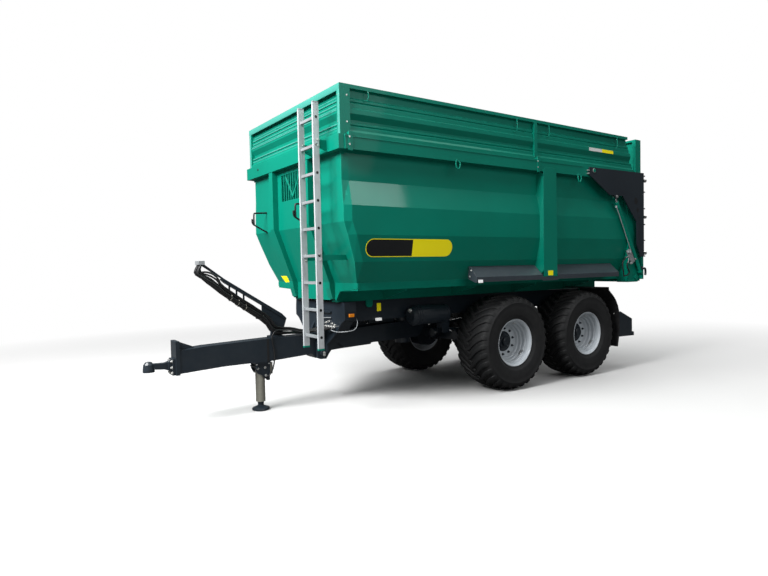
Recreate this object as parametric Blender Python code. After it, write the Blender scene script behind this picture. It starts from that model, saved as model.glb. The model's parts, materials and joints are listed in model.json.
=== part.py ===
"""Tandem tipping trailer: metres, +X forward, +Y left, +Z up, ground at Z = 0.

Everything is laid out from the middle of the tandem (X = 0 there) and moved by
MID_X at the end, so that the origin lies under the middle of the whole length.
"""

import math
from collections import namedtuple

import bmesh
import bpy
from mathutils import Matrix, Vector

GAP = 0.0003
SEAT = 0.006

# Wheels and axles
AXLE_SPACING = 1.452
HUB_Z = 0.605
TYRE_RADIUS = 0.605
TYRE_WIDTH = 0.545
TYRE_OUTER_Y = 1.2055
RIM_SEAT_RADIUS = 0.286
RIM_RADIUS = RIM_SEAT_RADIUS + 0.015
AXLE_BEAM = 0.120
SPRING_Y = 0.46
ROUND_TYRE = 32
ROUND_RIM = 32
ROUND_PIPE = 20
ROUND_SMALL = 12

# Chassis frame
RAIL_Y = 0.46
RAIL_WIDTH = 0.10
RAIL_TOP = 1.205
RAIL_BOTTOM = 0.975
RAIL_FRONT = 2.870
RAIL_REAR = -1.560

# Tipping hinge at the rear of the frame, and the telescopic cylinder
HINGE_X = -1.450
HINGE_Z = 1.100
HINGE_PIN_R = 0.030
TIP_TOP_X = 1.650
TIP_TOP_Z = 1.270
TIP_BASE_X = 1.650
TIP_BASE_Z = 0.930

# Tub
TUB_FRONT = 3.188
TUB_REAR = -1.900
WALL = 0.012
CHORD_TOP = 2.930
CHORD_BOTTOM = 2.785
CHORD_OUT_Y = 1.250
CHORD_SLIM_Y = 1.200
CHORD_SLIM_X = -0.960
FLOOR_HALF = 0.600
FLOOR_Z = 1.335
SILL_Z = 1.350
BEAM_Y = 0.480
BEAM_WIDTH = 0.130
BEAM_BOTTOM = 1.211
BEAM_REAR = -1.750
APRON = 0.022
COLUMN_FRONT = -1.650
COLUMN_REAR = -1.895
COLUMN_OUT_Y = 1.205
CORNER_BOTTOM = 1.298
BOARD_TOP = 3.440
BOARD_OUT_Y = 1.200
BOARD_FRONT = 3.217
BOARD_REAR = -1.644

UPRIGHT_Y = 0.475
UPRIGHT_DEEP = 0.070
LADDER_X = 3.350
LADDER_RAILS = (0.650, 0.980)

# Tailgate
GATE_HINGE_X = -0.745
GATE_HINGE_Z = 2.870
GATE_FRONT = -1.925
GATE_THICK = 0.045
GATE_REAR = -2.035
ARM_Y = 1.262
ARM_THICK = 0.018
ARM_REAR = -1.947
GATE_ROD_X = -1.270
GATE_ROD_Z = 2.540
GATE_BASE_X = -1.900
GATE_BASE_Z = 1.450
GATE_RAM_Y = 1.243

# Drawbar, coupling and jack
DRAW_PIN_X = 2.930
DRAW_PIN_Z = 0.590
HEAD_PLATE_X = 4.594
COUPLING_TIP_X = 4.899
JACK_X = 3.656

MID_X = (COUPLING_TIP_X + GATE_REAR) / 2

Station = namedtuple("Station", "z y")
FrontRow = namedtuple("FrontRow", "z x half")
Point = namedtuple("Point", "x z")

# Side wall of the tub, outer face, from the top down
SIDE_PROFILE = [
    Station(z=2.785, y=1.150),
    Station(z=2.485, y=1.150),
    Station(z=2.235, y=1.205),
    Station(z=2.070, y=1.205),
    Station(z=1.935, y=1.205),
    Station(z=1.655, y=1.145),
    Station(z=1.430, y=1.013),
]

# Front wall, outer face, from the top down; half is the half width at that height
FRONT_PROFILE = [
    FrontRow(z=2.785, x=3.188, half=1.143),
    FrontRow(z=2.485, x=3.188, half=1.143),
    FrontRow(z=2.235, x=3.188, half=1.171),
    FrontRow(z=2.070, x=3.188, half=1.171),
    FrontRow(z=1.935, x=3.138, half=1.160),
    FrontRow(z=1.655, x=3.036, half=1.110),
    FrontRow(z=1.430, x=2.953, half=1.006),
]

scene = bpy.context.scene
for startup_object in list(bpy.data.objects):
    bpy.data.objects.remove(startup_object, do_unlink=True)


# Building blocks

def solid(name, verts, faces):
    mesh = bpy.data.meshes.new(name)
    work = bmesh.new()
    made = [work.verts.new(v) for v in verts]
    for face in faces:
        work.faces.new([made[i] for i in face])
    bmesh.ops.recalc_face_normals(work, faces=work.faces)
    work.to_mesh(mesh)
    work.free()
    obj = bpy.data.objects.new(name, mesh)
    scene.collection.objects.link(obj)
    return obj


def to_space(axis, a, b, along):
    if axis == "X":
        return (along, a, b)
    if axis == "Y":
        return (a, along, b)
    return (a, b, along)


def prism(axis, outline, low, high):
    """The outline drawn across an axis: (y, z) for X, (x, z) for Y, (x, y) for Z."""
    n = len(outline)
    verts = [to_space(axis, a, b, low) for a, b in outline]
    verts += [to_space(axis, a, b, high) for a, b in outline]
    faces = [tuple(range(n)), tuple(range(n, 2 * n))]
    faces += [(i, (i + 1) % n, n + (i + 1) % n, n + i) for i in range(n)]
    return solid("prism", verts, faces)


def box(x0, x1, y0, y1, z0, z1):
    return prism("Z", [(x0, y0), (x1, y0), (x1, y1), (x0, y1)], z0, z1)


def loft(sections):
    """Rings of equal length, one after another, closed at both ends."""
    n = len(sections[0])
    verts = [v for ring in sections for v in ring]
    faces = [tuple(range(n)), tuple(range(len(verts) - n, len(verts)))]
    for s in range(len(sections) - 1):
        base = s * n
        faces += [
            (base + i, base + (i + 1) % n, base + n + (i + 1) % n, base + n + i)
            for i in range(n)
        ]
    return solid("loft", verts, faces)


def slab(outer, inner):
    """A sheet between two grids of points with equal rows and columns."""
    rows = len(outer)
    cols = len(outer[0])
    verts = [v for row in outer for v in row] + [v for row in inner for v in row]
    shift = rows * cols
    faces = []
    for r in range(rows - 1):
        for c in range(cols - 1):
            quad = (r * cols + c, r * cols + c + 1, (r + 1) * cols + c + 1, (r + 1) * cols + c)
            faces.append(quad)
            faces.append(tuple(shift + i for i in reversed(quad)))
    rim = [c for c in range(cols)]
    rim += [r * cols + cols - 1 for r in range(1, rows)]
    rim += [(rows - 1) * cols + c for c in range(cols - 2, -1, -1)]
    rim += [r * cols for r in range(rows - 2, 0, -1)]
    for i, here in enumerate(rim):
        after = rim[(i + 1) % len(rim)]
        faces.append((here, after, shift + after, shift + here))
    return solid("slab", verts, faces)


def turned(axis, profile, centre, count):
    """A closed outline of (radius, height) turned about an axis through the centre."""
    verts = []
    rings = []
    for radius, height in profile:
        if radius < 1e-9:
            rings.append([len(verts)] * count)
            a, b = 0.0, 0.0
            verts.append(Vector(to_space(axis, a, b, height)) + Vector(centre))
            continue
        ring = []
        for i in range(count):
            turn = 2 * math.pi * i / count
            spot = to_space(axis, radius * math.cos(turn), radius * math.sin(turn), height)
            ring.append(len(verts))
            verts.append(Vector(spot) + Vector(centre))
        rings.append(ring)
    faces = []
    for k in range(len(rings)):
        first, second = rings[k], rings[(k + 1) % len(rings)]
        for i in range(count):
            j = (i + 1) % count
            corners = [first[i], first[j], second[j], second[i]]
            face = [c for n, c in enumerate(corners) if c not in corners[:n]]
            if len(face) > 2:
                faces.append(tuple(face))
    return solid("turned", verts, faces)


def disc(axis, radius, low, high, centre, count=ROUND_PIPE):
    return turned(axis, [(0.0, low), (radius, low), (radius, high), (0.0, high)], centre, count)


def aim(start, end):
    """A matrix that takes +Z from the origin onto the line from start to end."""
    way = Vector(end) - Vector(start)
    return Matrix.Translation(Vector(start)) @ way.to_track_quat("Z", "Y").to_matrix().to_4x4()


def rod(start, end, radius, count=ROUND_SMALL):
    length = (Vector(end) - Vector(start)).length
    piece = disc("Z", radius, 0.0, length, (0, 0, 0), count)
    piece.data.transform(aim(start, end))
    return piece


def pipe(points, radius, count=8):
    """A round bar or hose through the points, mitred at each."""
    spots = [Vector(p) for p in points]
    rings = []
    side = None
    for i, spot in enumerate(spots):
        before = (spot - spots[i - 1]).normalized() if i else None
        after = (spots[i + 1] - spot).normalized() if i + 1 < len(spots) else None
        way = before or after
        if before and after:
            way = (before + after).normalized()
        if side is None:
            side = way.orthogonal().normalized()
        side = (side - way * side.dot(way)).normalized()
        other = way.cross(side)
        stretch = 1.0
        if before and after:
            stretch = 1.0 / max(0.5, before.dot(way))
        ring = []
        for k in range(count):
            turn = 2 * math.pi * k / count
            ring.append(spot + (side * math.cos(turn) + other * math.sin(turn)) * radius * stretch)
        rings.append(ring)
    return loft(rings)


def boolean(target, other, operation):
    step = target.modifiers.new(operation, "BOOLEAN")
    step.operation = operation
    step.solver = "EXACT"
    step.object = other
    graph = bpy.context.evaluated_depsgraph_get()
    made = bpy.data.meshes.new_from_object(target.evaluated_get(graph))
    target.modifiers.clear()
    target.data = made
    bpy.data.objects.remove(other, do_unlink=True)
    return target


def join(*pieces):
    target = pieces[0]
    for other in pieces[1:]:
        boolean(target, other, "UNION")
    return target


def cut(target, *cutters):
    for cutter in cutters:
        boolean(target, cutter, "DIFFERENCE")
    return target


def mirrored(piece):
    """The same piece on the other side of the middle plane."""
    twin = bpy.data.objects.new(piece.name, piece.data.copy())
    scene.collection.objects.link(twin)
    twin.data.transform(Matrix.Scale(-1, 4, (0, 1, 0)))
    twin.data.flip_normals()
    return twin


def bevelled(piece, width):
    step = piece.modifiers.new("edge", "BEVEL")
    step.width = width
    step.segments = 1
    step.limit_method = "ANGLE"
    graph = bpy.context.evaluated_depsgraph_get()
    made = bpy.data.meshes.new_from_object(piece.evaluated_get(graph))
    piece.modifiers.clear()
    piece.data = made
    return piece


# Finishes

Finish = namedtuple("Finish", "colour metallic roughness")
FINISHES = {
    "green": Finish(colour=(0.020, 0.330, 0.250, 1), metallic=0.0, roughness=0.35),
    "anthracite": Finish(colour=(0.030, 0.038, 0.046, 1), metallic=0.0, roughness=0.45),
    "tyre": Finish(colour=(0.018, 0.018, 0.019, 1), metallic=0.0, roughness=0.85),
    "silver": Finish(colour=(0.620, 0.630, 0.640, 1), metallic=0.6, roughness=0.40),
    "aluminium": Finish(colour=(0.700, 0.710, 0.720, 1), metallic=1.0, roughness=0.35),
    "steel": Finish(colour=(0.450, 0.460, 0.470, 1), metallic=1.0, roughness=0.30),
    "zinc": Finish(colour=(0.480, 0.470, 0.430, 1), metallic=0.8, roughness=0.45),
    "hose": Finish(colour=(0.015, 0.015, 0.016, 1), metallic=0.0, roughness=0.60),
    "lamp": Finish(colour=(0.600, 0.030, 0.020, 1), metallic=0.0, roughness=0.20),
}
MATERIALS = {}
for finish_name, finish in FINISHES.items():
    made_material = bpy.data.materials.new(finish_name)
    made_material.use_nodes = True
    shader = made_material.node_tree.nodes["Principled BSDF"]
    shader.inputs["Base Color"].default_value = finish.colour
    shader.inputs["Metallic"].default_value = finish.metallic
    shader.inputs["Roughness"].default_value = finish.roughness
    MATERIALS[finish_name] = made_material

BODIES = {}
NODES = []


def body(name, parent, x, y, z):
    """An empty at a joint; the pieces that move together hang on it."""
    pivot = bpy.data.objects.new("pivot_" + name, None)
    scene.collection.objects.link(pivot)
    pivot.location = (x - MID_X, y, z)
    BODIES[name] = (pivot, parent)


def node(piece, name, finish_of_piece, body_name, smooth=False):
    piece.name = name
    piece.data.name = name
    piece.data.materials.clear()
    piece.data.materials.append(MATERIALS[finish_of_piece])
    if smooth:
        piece.data.shade_smooth()
        piece.data.set_sharp_from_angle(angle=math.radians(38))
    NODES.append((piece, body_name))
    return piece


def pair(piece, stem, finish_of_piece, body_left, body_right, smooth=False):
    twin = mirrored(piece)
    node(piece, stem + "_left", finish_of_piece, body_left, smooth)
    node(twin, stem + "_right", finish_of_piece, body_right, smooth)


def side_y(z):
    """Outer face of the side wall at a height."""
    for high, low in zip(SIDE_PROFILE, SIDE_PROFILE[1:]):
        if low.z <= z <= high.z:
            share = (z - low.z) / (high.z - low.z)
            return low.y + (high.y - low.y) * share
    return SIDE_PROFILE[-1].y if z < SIDE_PROFILE[-1].z else SIDE_PROFILE[0].y


def front_x(z):
    """Outer face of the front wall at a height."""
    for high, low in zip(FRONT_PROFILE, FRONT_PROFILE[1:]):
        if low.z <= z <= high.z:
            share = (z - low.z) / (high.z - low.z)
            return low.x + (high.x - low.x) * share
    return FRONT_PROFILE[-1].x if z < FRONT_PROFILE[-1].z else FRONT_PROFILE[0].x


def front_half(z):
    """Half width of the front face at a height."""
    for high, low in zip(FRONT_PROFILE, FRONT_PROFILE[1:]):
        if low.z <= z <= high.z:
            share = (z - low.z) / (high.z - low.z)
            return low.half + (high.half - low.half) * share
    return FRONT_PROFILE[-1].half if z < FRONT_PROFILE[-1].z else FRONT_PROFILE[0].half


# Bodies and their joints

Wheel = namedtuple("Wheel", "name x")
WHEELS = [Wheel(name="front", x=AXLE_SPACING / 2), Wheel(name="rear", x=-AXLE_SPACING / 2)]
for wheel in WHEELS:
    for side, sign in (("left", 1), ("right", -1)):
        body("wheel_" + wheel.name + "_" + side, "chassis", wheel.x, sign * TYRE_OUTER_Y, HUB_Z)
body("tub", "chassis", HINGE_X, 0.0, HINGE_Z)
body("tailgate", "tub", GATE_HINGE_X, 0.0, GATE_HINGE_Z)
for side, sign in (("left", 1), ("right", -1)):
    body("gate_barrel_" + side, "tub", GATE_BASE_X, sign * GATE_RAM_Y, GATE_BASE_Z)
    body("gate_rod_" + side, "gate_barrel_" + side, GATE_ROD_X, sign * GATE_RAM_Y, GATE_ROD_Z)
body("tip_barrel", "chassis", TIP_BASE_X, 0.0, TIP_BASE_Z)
STAGES = ["tip_stage_1", "tip_stage_2", "tip_stage_3", "tip_stage_4", "tip_plunger"]
for below, stage in zip(["tip_barrel"] + STAGES, STAGES):
    body(stage, below, TIP_TOP_X, 0.0, TIP_TOP_Z)
body("jack_leg", "chassis", JACK_X, 0.0, 0.0)


# Wheels

def tyre(x):
    middle = TYRE_OUTER_Y - TYRE_WIDTH / 2
    half = TYRE_WIDTH / 2
    bead = half * 0.80 - GAP
    seat = RIM_SEAT_RADIUS + GAP
    side = [
        (seat, bead - 0.0135),
        (seat + 0.0112, bead - 0.0055),
        (RIM_RADIUS + 0.012, half * 0.86),
        (RIM_RADIUS + 0.070, half * 0.97),
        (TYRE_RADIUS - 0.150, half),
        (TYRE_RADIUS - 0.070, half * 0.965),
        (TYRE_RADIUS - 0.025, half * 0.87),
        (TYRE_RADIUS - 0.007, half * 0.62),
        (TYRE_RADIUS, half * 0.25),
    ]
    outline = side + [(radius, -across) for radius, across in reversed(side)]
    return turned("Y", outline, (x, middle, HUB_Z), ROUND_TYRE)


def rim(x):
    middle = TYRE_OUTER_Y - TYRE_WIDTH / 2
    half = TYRE_WIDTH / 2
    lip = half * 0.80 - GAP
    seat = RIM_SEAT_RADIUS - GAP
    outline = [
        (0.0, half * 0.34),
        (0.080, half * 0.34),
        (0.088, half * 0.30),
        (0.088, half * 0.06),
        (seat - 0.110, half * 0.06),
        (seat - 0.062, half * 0.16),
        (seat - 0.050, half * 0.34),
        (seat - 0.028, half * 0.40),
        (seat - 0.022, lip - 0.034),
        (seat - 0.010, lip + 0.004),
        (seat + 0.0103, lip + 0.010),
        (seat + 0.0103, lip - 0.004 - GAP),
        (seat, lip - 0.012),
        (seat - 0.018, half * 0.34),
        (seat - 0.018, -half * 0.50),
        (seat, -lip + 0.012),
        (seat + 0.0103, -lip + 0.004 + GAP),
        (seat + 0.0103, -lip - 0.010),
        (seat - 0.010, -lip - 0.004),
        (seat - 0.032, -half * 0.50),
        (seat - 0.041, -half * 0.10),
        (seat - 0.081, -half * 0.12),
        (0.0, -half * 0.12),
    ]
    return turned("Y", outline, (x, middle, HUB_Z), ROUND_RIM)


for wheel in WHEELS:
    stem = "wheel_" + wheel.name
    pair(tyre(wheel.x), "tyre_" + wheel.name, "tyre", stem + "_left", stem + "_right", True)
    pair(rim(wheel.x), "rim_" + wheel.name, "silver", stem + "_left", stem + "_right", True)


# Axles: a square beam, a round brake drum inside each rim, and the leaf springs on top

def axle(x):
    drum_in = TYRE_OUTER_Y - TYRE_WIDTH - 0.030
    drum_out = TYRE_OUTER_Y - TYRE_WIDTH / 2 - TYRE_WIDTH / 2 * 0.12 - 0.006
    half = AXLE_BEAM / 2
    beam = box(x - half, x + half, -drum_in - 0.01, drum_in + 0.01, HUB_Z - half, HUB_Z + half)
    pieces = [beam]
    for sign in (1, -1):
        low, high = sorted((sign * drum_in, sign * drum_out))
        pieces.append(disc("Y", RIM_SEAT_RADIUS - 0.081, low, high, (x, 0, HUB_Z), ROUND_PIPE + 8))
        low, high = sorted((sign * drum_in, sign * (drum_out + 0.0055)))
        pieces.append(disc("Y", 0.090, low, high, (x, 0, HUB_Z), ROUND_PIPE))
        centre = sign * SPRING_Y
        leaf_top = HUB_Z + half + 0.085
        pieces.append(box(x - 0.070, x + 0.070, centre - 0.055, centre + 0.055, HUB_Z - half - 0.02, leaf_top + 0.035))
        for k, reach in enumerate((0.604, 0.42, 0.27)):
            level = leaf_top - 0.024 * k
            outline = [
                (x - reach, level + 0.045 - 0.010 * k),
                (x, level),
                (x + reach, level + 0.045 - 0.010 * k),
                (x + reach, level + 0.021 - 0.010 * k),
                (x, level - 0.026),
                (x - reach, level + 0.021 - 0.010 * k),
            ]
            pieces.append(prism("Y", outline, centre - 0.040, centre + 0.040))
    return join(*pieces)


for wheel in WHEELS:
    node(axle(wheel.x), "axle_" + wheel.name, "anthracite", "chassis")


# Chassis frame: two rails, cross members, spring hangers, hinge ears and the hinge shaft

def chassis_frame():
    low_y, high_y = RAIL_Y - RAIL_WIDTH / 2, RAIL_Y + RAIL_WIDTH / 2
    pieces = []
    for sign in (1, -1):
        a, b = sorted((sign * low_y, sign * high_y))
        rail = [
            (RAIL_REAR, RAIL_BOTTOM),
            (RAIL_FRONT, RAIL_BOTTOM),
            (RAIL_FRONT, RAIL_TOP),
            (HINGE_X, RAIL_TOP),
            (HINGE_X - 0.040, RAIL_TOP - 0.010),
            (HINGE_X - 0.078, RAIL_TOP - 0.036),
            (RAIL_REAR, RAIL_TOP - 0.073),
        ]
        pieces.append(prism("Y", rail, a, b))
    for x in (2.12, 1.20, 0.0, -1.20):
        pieces.append(box(x - 0.05, x + 0.05, -high_y + 0.01, high_y - 0.01, RAIL_BOTTOM + 0.02, RAIL_TOP - 0.095))
    hanger_y = SPRING_Y
    for sign in (1, -1):
        a, b = sorted((sign * (hanger_y - 0.052), sign * (hanger_y + 0.052)))
        for x in (1.330, -1.330):
            outline = [(x - 0.080, RAIL_BOTTOM + 0.01), (x + 0.080, RAIL_BOTTOM + 0.01), (x + 0.060, 0.795 + GAP), (x - 0.060, 0.795 + GAP)]
            pieces.append(prism("Y", outline, a, b))
            for low in (-0.058, 0.045):
                lug = [(x - 0.062, 0.910), (x + 0.062, 0.910), (x + 0.050, 0.735), (x - 0.050, 0.735)]
                pieces.append(prism("Y", lug, sign * hanger_y + low, sign * hanger_y + low + 0.013))
        outline = [(-0.110, RAIL_BOTTOM + 0.01), (0.110, RAIL_BOTTOM + 0.01), (0.145, 0.795 + GAP), (0.100, 0.795 + GAP), (0.060, 0.700), (-0.060, 0.700), (-0.100, 0.795 + GAP), (-0.145, 0.795 + GAP)]
        pieces.append(prism("Y", outline, a, b))
    pieces.append(disc("Y", HINGE_PIN_R, -0.56, 0.56, (HINGE_X, 0, HINGE_Z), ROUND_PIPE))
    for sign in (1, -1):
        a, b = sorted((sign * 0.145, sign * (low_y + 0.01)))
        pieces.append(box(TIP_BASE_X - 0.045, TIP_BASE_X + 0.045, a, b, TIP_BASE_Z + 0.05, TIP_BASE_Z + 0.16))
        a, b = sorted((sign * 0.147, sign * 0.175))
        pieces.append(box(TIP_BASE_X - 0.041, TIP_BASE_X + 0.041, a, b, TIP_BASE_Z - 0.045, TIP_BASE_Z + 0.10))
    return join(*pieces)


node(chassis_frame(), "chassis_frame", "anthracite", "chassis")


def frame_head():
    edge = [
        (0.618, RAIL_TOP - GAP),
        (0.629, 1.100),
        (0.629, 1.010),
        (0.552, 0.970),
        (0.422, 0.845),
        (0.190, 0.690),
        (0.190, 0.600),
    ]
    full = edge + [(-y, z) for y, z in reversed(edge)]
    pieces = [prism("X", full, RAIL_FRONT + GAP, RAIL_FRONT + 0.020)]
    for sign in (1, -1):
        inside = [(y - 0.012, z + 0.010) for y, z in edge[1:5]]
        outer = [(sign * y, z) for y, z in edge[:5]]
        band = outer + [(sign * y, z) for y, z in reversed(inside)] + [(sign * 0.606, RAIL_TOP - GAP)]
        pieces.append(prism("X", band, RAIL_FRONT - 0.130, RAIL_FRONT + 0.010))
        a, b = sorted((sign * 0.110, sign * 0.150))
        ear = [
            (2.600, 0.960),
            (2.885, 0.960),
            (3.000, 0.720),
            (2.992, 0.535),
            (2.960, 0.520),
            (2.882, 0.517),
            (2.825, 0.600),
            (2.600, 0.800),
        ]
        pieces.append(prism("Y", ear, a, b))
    pieces.append(box(2.600, 2.885, -0.149, 0.149, 0.930, RAIL_BOTTOM - GAP))
    pieces.append(box(RAIL_FRONT + 0.010, RAIL_FRONT + 0.045, -0.330, 0.330, 1.075, 1.095))
    head = cut(join(*pieces), box(2.500, 2.950, -0.104, 0.104, 0.400, 0.880))
    return join(head, disc("Y", 0.035, -0.185, 0.185, (DRAW_PIN_X, 0, DRAW_PIN_Z), ROUND_PIPE))


node(frame_head(), "frame_head", "anthracite", "chassis")


# Drawbar with its head plate, bored for the pin

def drawbar():
    half = 0.090
    top = [
        (4.560, 0.770),
        (4.290, 0.793),
        (3.850, 0.806),
        (3.560, 0.814),
        (3.190, 0.816),
        (2.240, 0.830),
    ]
    bottom = [
        (2.130, 0.700),
        (2.220, 0.625),
        (2.660, 0.611),
        (2.810, 0.602),
        (2.870, 0.530),
        (2.990, 0.530),
        (3.040, 0.586),
        (3.200, 0.575),
        (3.570, 0.556),
        (4.080, 0.556),
        (4.560, 0.531),
    ]
    beam = prism("Y", top + [(2.130, 0.800)] + bottom, -half, half)
    plate = box(HEAD_PLATE_X - 0.040, HEAD_PLATE_X, -0.098, 0.098, 0.517, 0.872)
    gusset = prism("Y", [(4.560, 0.700), (4.560, 0.868), (4.390, 0.795), (4.390, 0.700)], -0.020, 0.020)
    bar = join(beam, plate, gusset)
    bore = disc("Y", 0.035 + GAP * 2, -0.2, 0.2, (DRAW_PIN_X, 0, DRAW_PIN_Z), ROUND_PIPE)
    return cut(bar, bore)


node(drawbar(), "drawbar", "anthracite", "chassis")


def coupling():
    flange = box(HEAD_PLATE_X + GAP, HEAD_PLATE_X + 0.030, -0.075, 0.075, 0.520, 0.690)
    neck_line = [
        (4.615, 0.668),
        (4.615, 0.560),
        (4.700, 0.588),
        (4.800, 0.598),
        (4.800, 0.655),
        (4.690, 0.652),
    ]
    neck = prism("Y", neck_line, -0.034, 0.034)
    web = prism("Y", [(4.618, 0.672), (4.618, 0.548), (4.660, 0.580), (4.660, 0.655)], -0.055, 0.055)
    cup_line = [
        (0.0, 0.655),
        (0.030, 0.650),
        (0.030, 0.620),
        (0.046, 0.572),
        (0.058, 0.572),
        (0.058, 0.600),
        (0.050, 0.650),
        (0.030, 0.676),
        (0.0, 0.682),
    ]
    cup = turned("Z", cup_line, (COUPLING_TIP_X - 0.058, 0, 0), ROUND_PIPE)
    return join(flange, neck, web, cup)


node(coupling(), "tow_coupling", "anthracite", "chassis", True)


# Jack: a flange and two cheeks under the drawbar hold the outer tube, the leg slides in it

JACK_TOP = 0.5557


def jack_bracket():
    pieces = [box(3.556, 3.740, -0.085, 0.085, JACK_TOP - 0.018, JACK_TOP)]
    for sign in (1, -1):
        a, b = sorted((sign * 0.0538, sign * 0.0660))
        cheek = [
            (3.557, JACK_TOP - 0.010),
            (3.736, JACK_TOP - 0.010),
            (3.736, 0.480),
            (3.708, 0.425),
            (3.660, 0.405),
            (3.622, 0.369),
            (3.600, 0.338),
            (3.565, 0.338),
        ]
        pieces.append(prism("Y", cheek, a, b))
    pieces.append(disc("Y", 0.011, -0.100, 0.100, (3.7225, 0, 0.500), ROUND_SMALL))
    pieces.append(disc("Y", 0.011, -0.078, 0.078, (3.5825, 0, 0.365), ROUND_SMALL))
    return join(*pieces)


node(jack_bracket(), "jack_bracket", "anthracite", "chassis")


def jack_tube():
    height = JACK_TOP - 0.0183
    tube_line = [(0.0348, 0.100), (0.0535, 0.100), (0.0535, height), (0.0348, height)]
    tube = turned("Z", tube_line, (JACK_X, 0, 0), ROUND_PIPE)
    pump = turned("Z", [(0.0, 0.395), (0.024, 0.400), (0.024, 0.530), (0.0, 0.535)], (3.528, 0, 0), ROUND_SMALL)
    link = box(3.535, 3.607, -0.014, 0.014, 0.440, 0.475)
    return join(tube, pump, link)


node(jack_tube(), "jack_tube", "zinc", "chassis", True)


def jack_leg():
    line = [
        (0.0, 0.0),
        (0.088, 0.0),
        (0.100, 0.010),
        (0.094, 0.028),
        (0.054, 0.044),
        (0.034, 0.054),
        (0.034, 0.460),
        (0.0, 0.460),
    ]
    return turned("Z", line, (JACK_X, 0, 0), ROUND_PIPE + 4)


node(jack_leg(), "jack_leg", "anthracite", "jack_leg", True)


# Hose rack and the hoses on it

def hose_rack():
    plate = box(3.380, 3.530, -0.075, 0.075, 0.8152, 0.834)
    heel_line = [
        (3.345, 0.945),
        (3.385, 0.830),
        (3.518, 0.830),
        (3.500, 0.960),
        (3.610, 1.120),
        (3.610, 1.190),
        (3.379, 1.087),
        (3.318, 1.025),
    ]
    heel = prism("Y", heel_line, -0.016, 0.016)
    bar_line = [(3.330, 1.012), (3.382, 1.085), (4.057, 1.513), (4.075, 1.495), (4.037, 1.458)]
    bar = prism("Y", bar_line, -0.030, 0.030)
    tip = prism("Y", [(4.030, 1.480), (4.030, 1.498), (4.285, 1.690), (4.300, 1.668)], -0.018, 0.018)
    holder = box(4.258, 4.322, -0.062, 0.062, 1.660, 1.700)
    pieces = [plate, heel, bar, tip, holder]
    for x in (3.820, 3.900, 3.980):
        level = 1.458 + (x - 4.037) * 0.640
        pieces.append(box(x - 0.007, x + 0.007, -0.010, 0.010, level - 0.165, level + 0.010))
    return join(*pieces)


node(hose_rack(), "hose_rack", "anthracite", "chassis")


# Supply lines: from the couplings at the tip, under the rack and back to the frame head

HosePath = namedtuple("HosePath", "side drop")
HOSES = [
    HosePath(side=-0.056, drop=0.0),
    HosePath(side=-0.030, drop=0.014),
    HosePath(side=0.030, drop=0.014),
    HosePath(side=0.056, drop=0.0),
]
HOSE_RADIUS = 0.0115
CLAMPS = [3.860, 3.650]


def supply_hoses():
    pieces = []
    for k, hose in enumerate(HOSES):
        y = hose.side
        d = hose.drop
        end_y = 0.200 + 0.065 * k
        route = [
            (4.300, y * 0.90, 1.6597),
            (4.300, y * 0.90, 1.640),
            (4.316 - d, y, 1.600),
            (4.290 - d, y, 1.545 - d),
            (4.200 - d, y, 1.462 - d),
            (4.073, y, 1.365 - d),
            (3.820, y, 1.180 - d),
            (3.620, y, 1.040 - d),
            (3.545, y, 0.975 - d),
            (3.512, y, 0.915 - d),
            (3.475, y, 0.874 - d),
            (3.410, y, 0.863 - d),
            (3.250, y, 0.848),
            (3.120, y + 0.030, 0.846),
            (2.990, (y + end_y) / 2 + 0.020, 0.872),
            (2.925, end_y, 0.912),
            (2.8903, end_y, 0.912),
        ]
        pieces.append(pipe(route, HOSE_RADIUS, 6))
    for x in CLAMPS:
        level = 1.180 - 0.014 + (x - 3.820) * 0.720
        pieces.append(box(x - 0.010, x + 0.010, -0.070, 0.070, level - 0.009, level + 0.009))
    return join(*pieces)


node(supply_hoses(), "supply_hoses", "hose", "chassis", True)


# Air tank, hung under the left rail

def air_tank():
    tank = turned("X", [(0.0, 1.400), (0.090, 1.410), (0.118, 1.450), (0.118, 1.950), (0.090, 1.990), (0.0, 2.000)], (0, 0.640, 1.000), ROUND_PIPE)
    strap = box(1.560, 1.600, RAIL_Y + RAIL_WIDTH / 2 + GAP, 0.560, 0.960, 1.060)
    strap_b = box(1.800, 1.840, RAIL_Y + RAIL_WIDTH / 2 + GAP, 0.560, 0.960, 1.060)
    return join(tank, strap, strap_b)


node(air_tank(), "air_tank", "anthracite", "chassis", True)


# Rear mudguards and the lamp carrier

def mudguard():
    line = [
        (-0.780, 1.246),
        (-1.000, 1.248),
        (-1.184, 1.242),
        (-1.186, 1.200),
        (-1.292, 1.110),
        (-1.350, 1.050),
        (-1.400, 0.965),
        (-1.430, 0.880),
        (-1.440, 0.700),
        (-1.440, 0.560),
        (-1.395, 0.356),
    ]
    inner = [
        (-1.388, 0.360),
        (-1.433, 0.560),
        (-1.433, 0.700),
        (-1.423, 0.880),
        (-1.394, 0.960),
        (-1.345, 1.042),
        (-1.287, 1.102),
        (-1.179, 1.192),
        (-1.177, 1.235),
        (-1.000, 1.241),
        (-0.780, 1.239),
    ]
    return prism("Y", line + inner, 0.700, 1.200)


pair(mudguard(), "mudguard", "hose", "chassis", "chassis")


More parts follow.
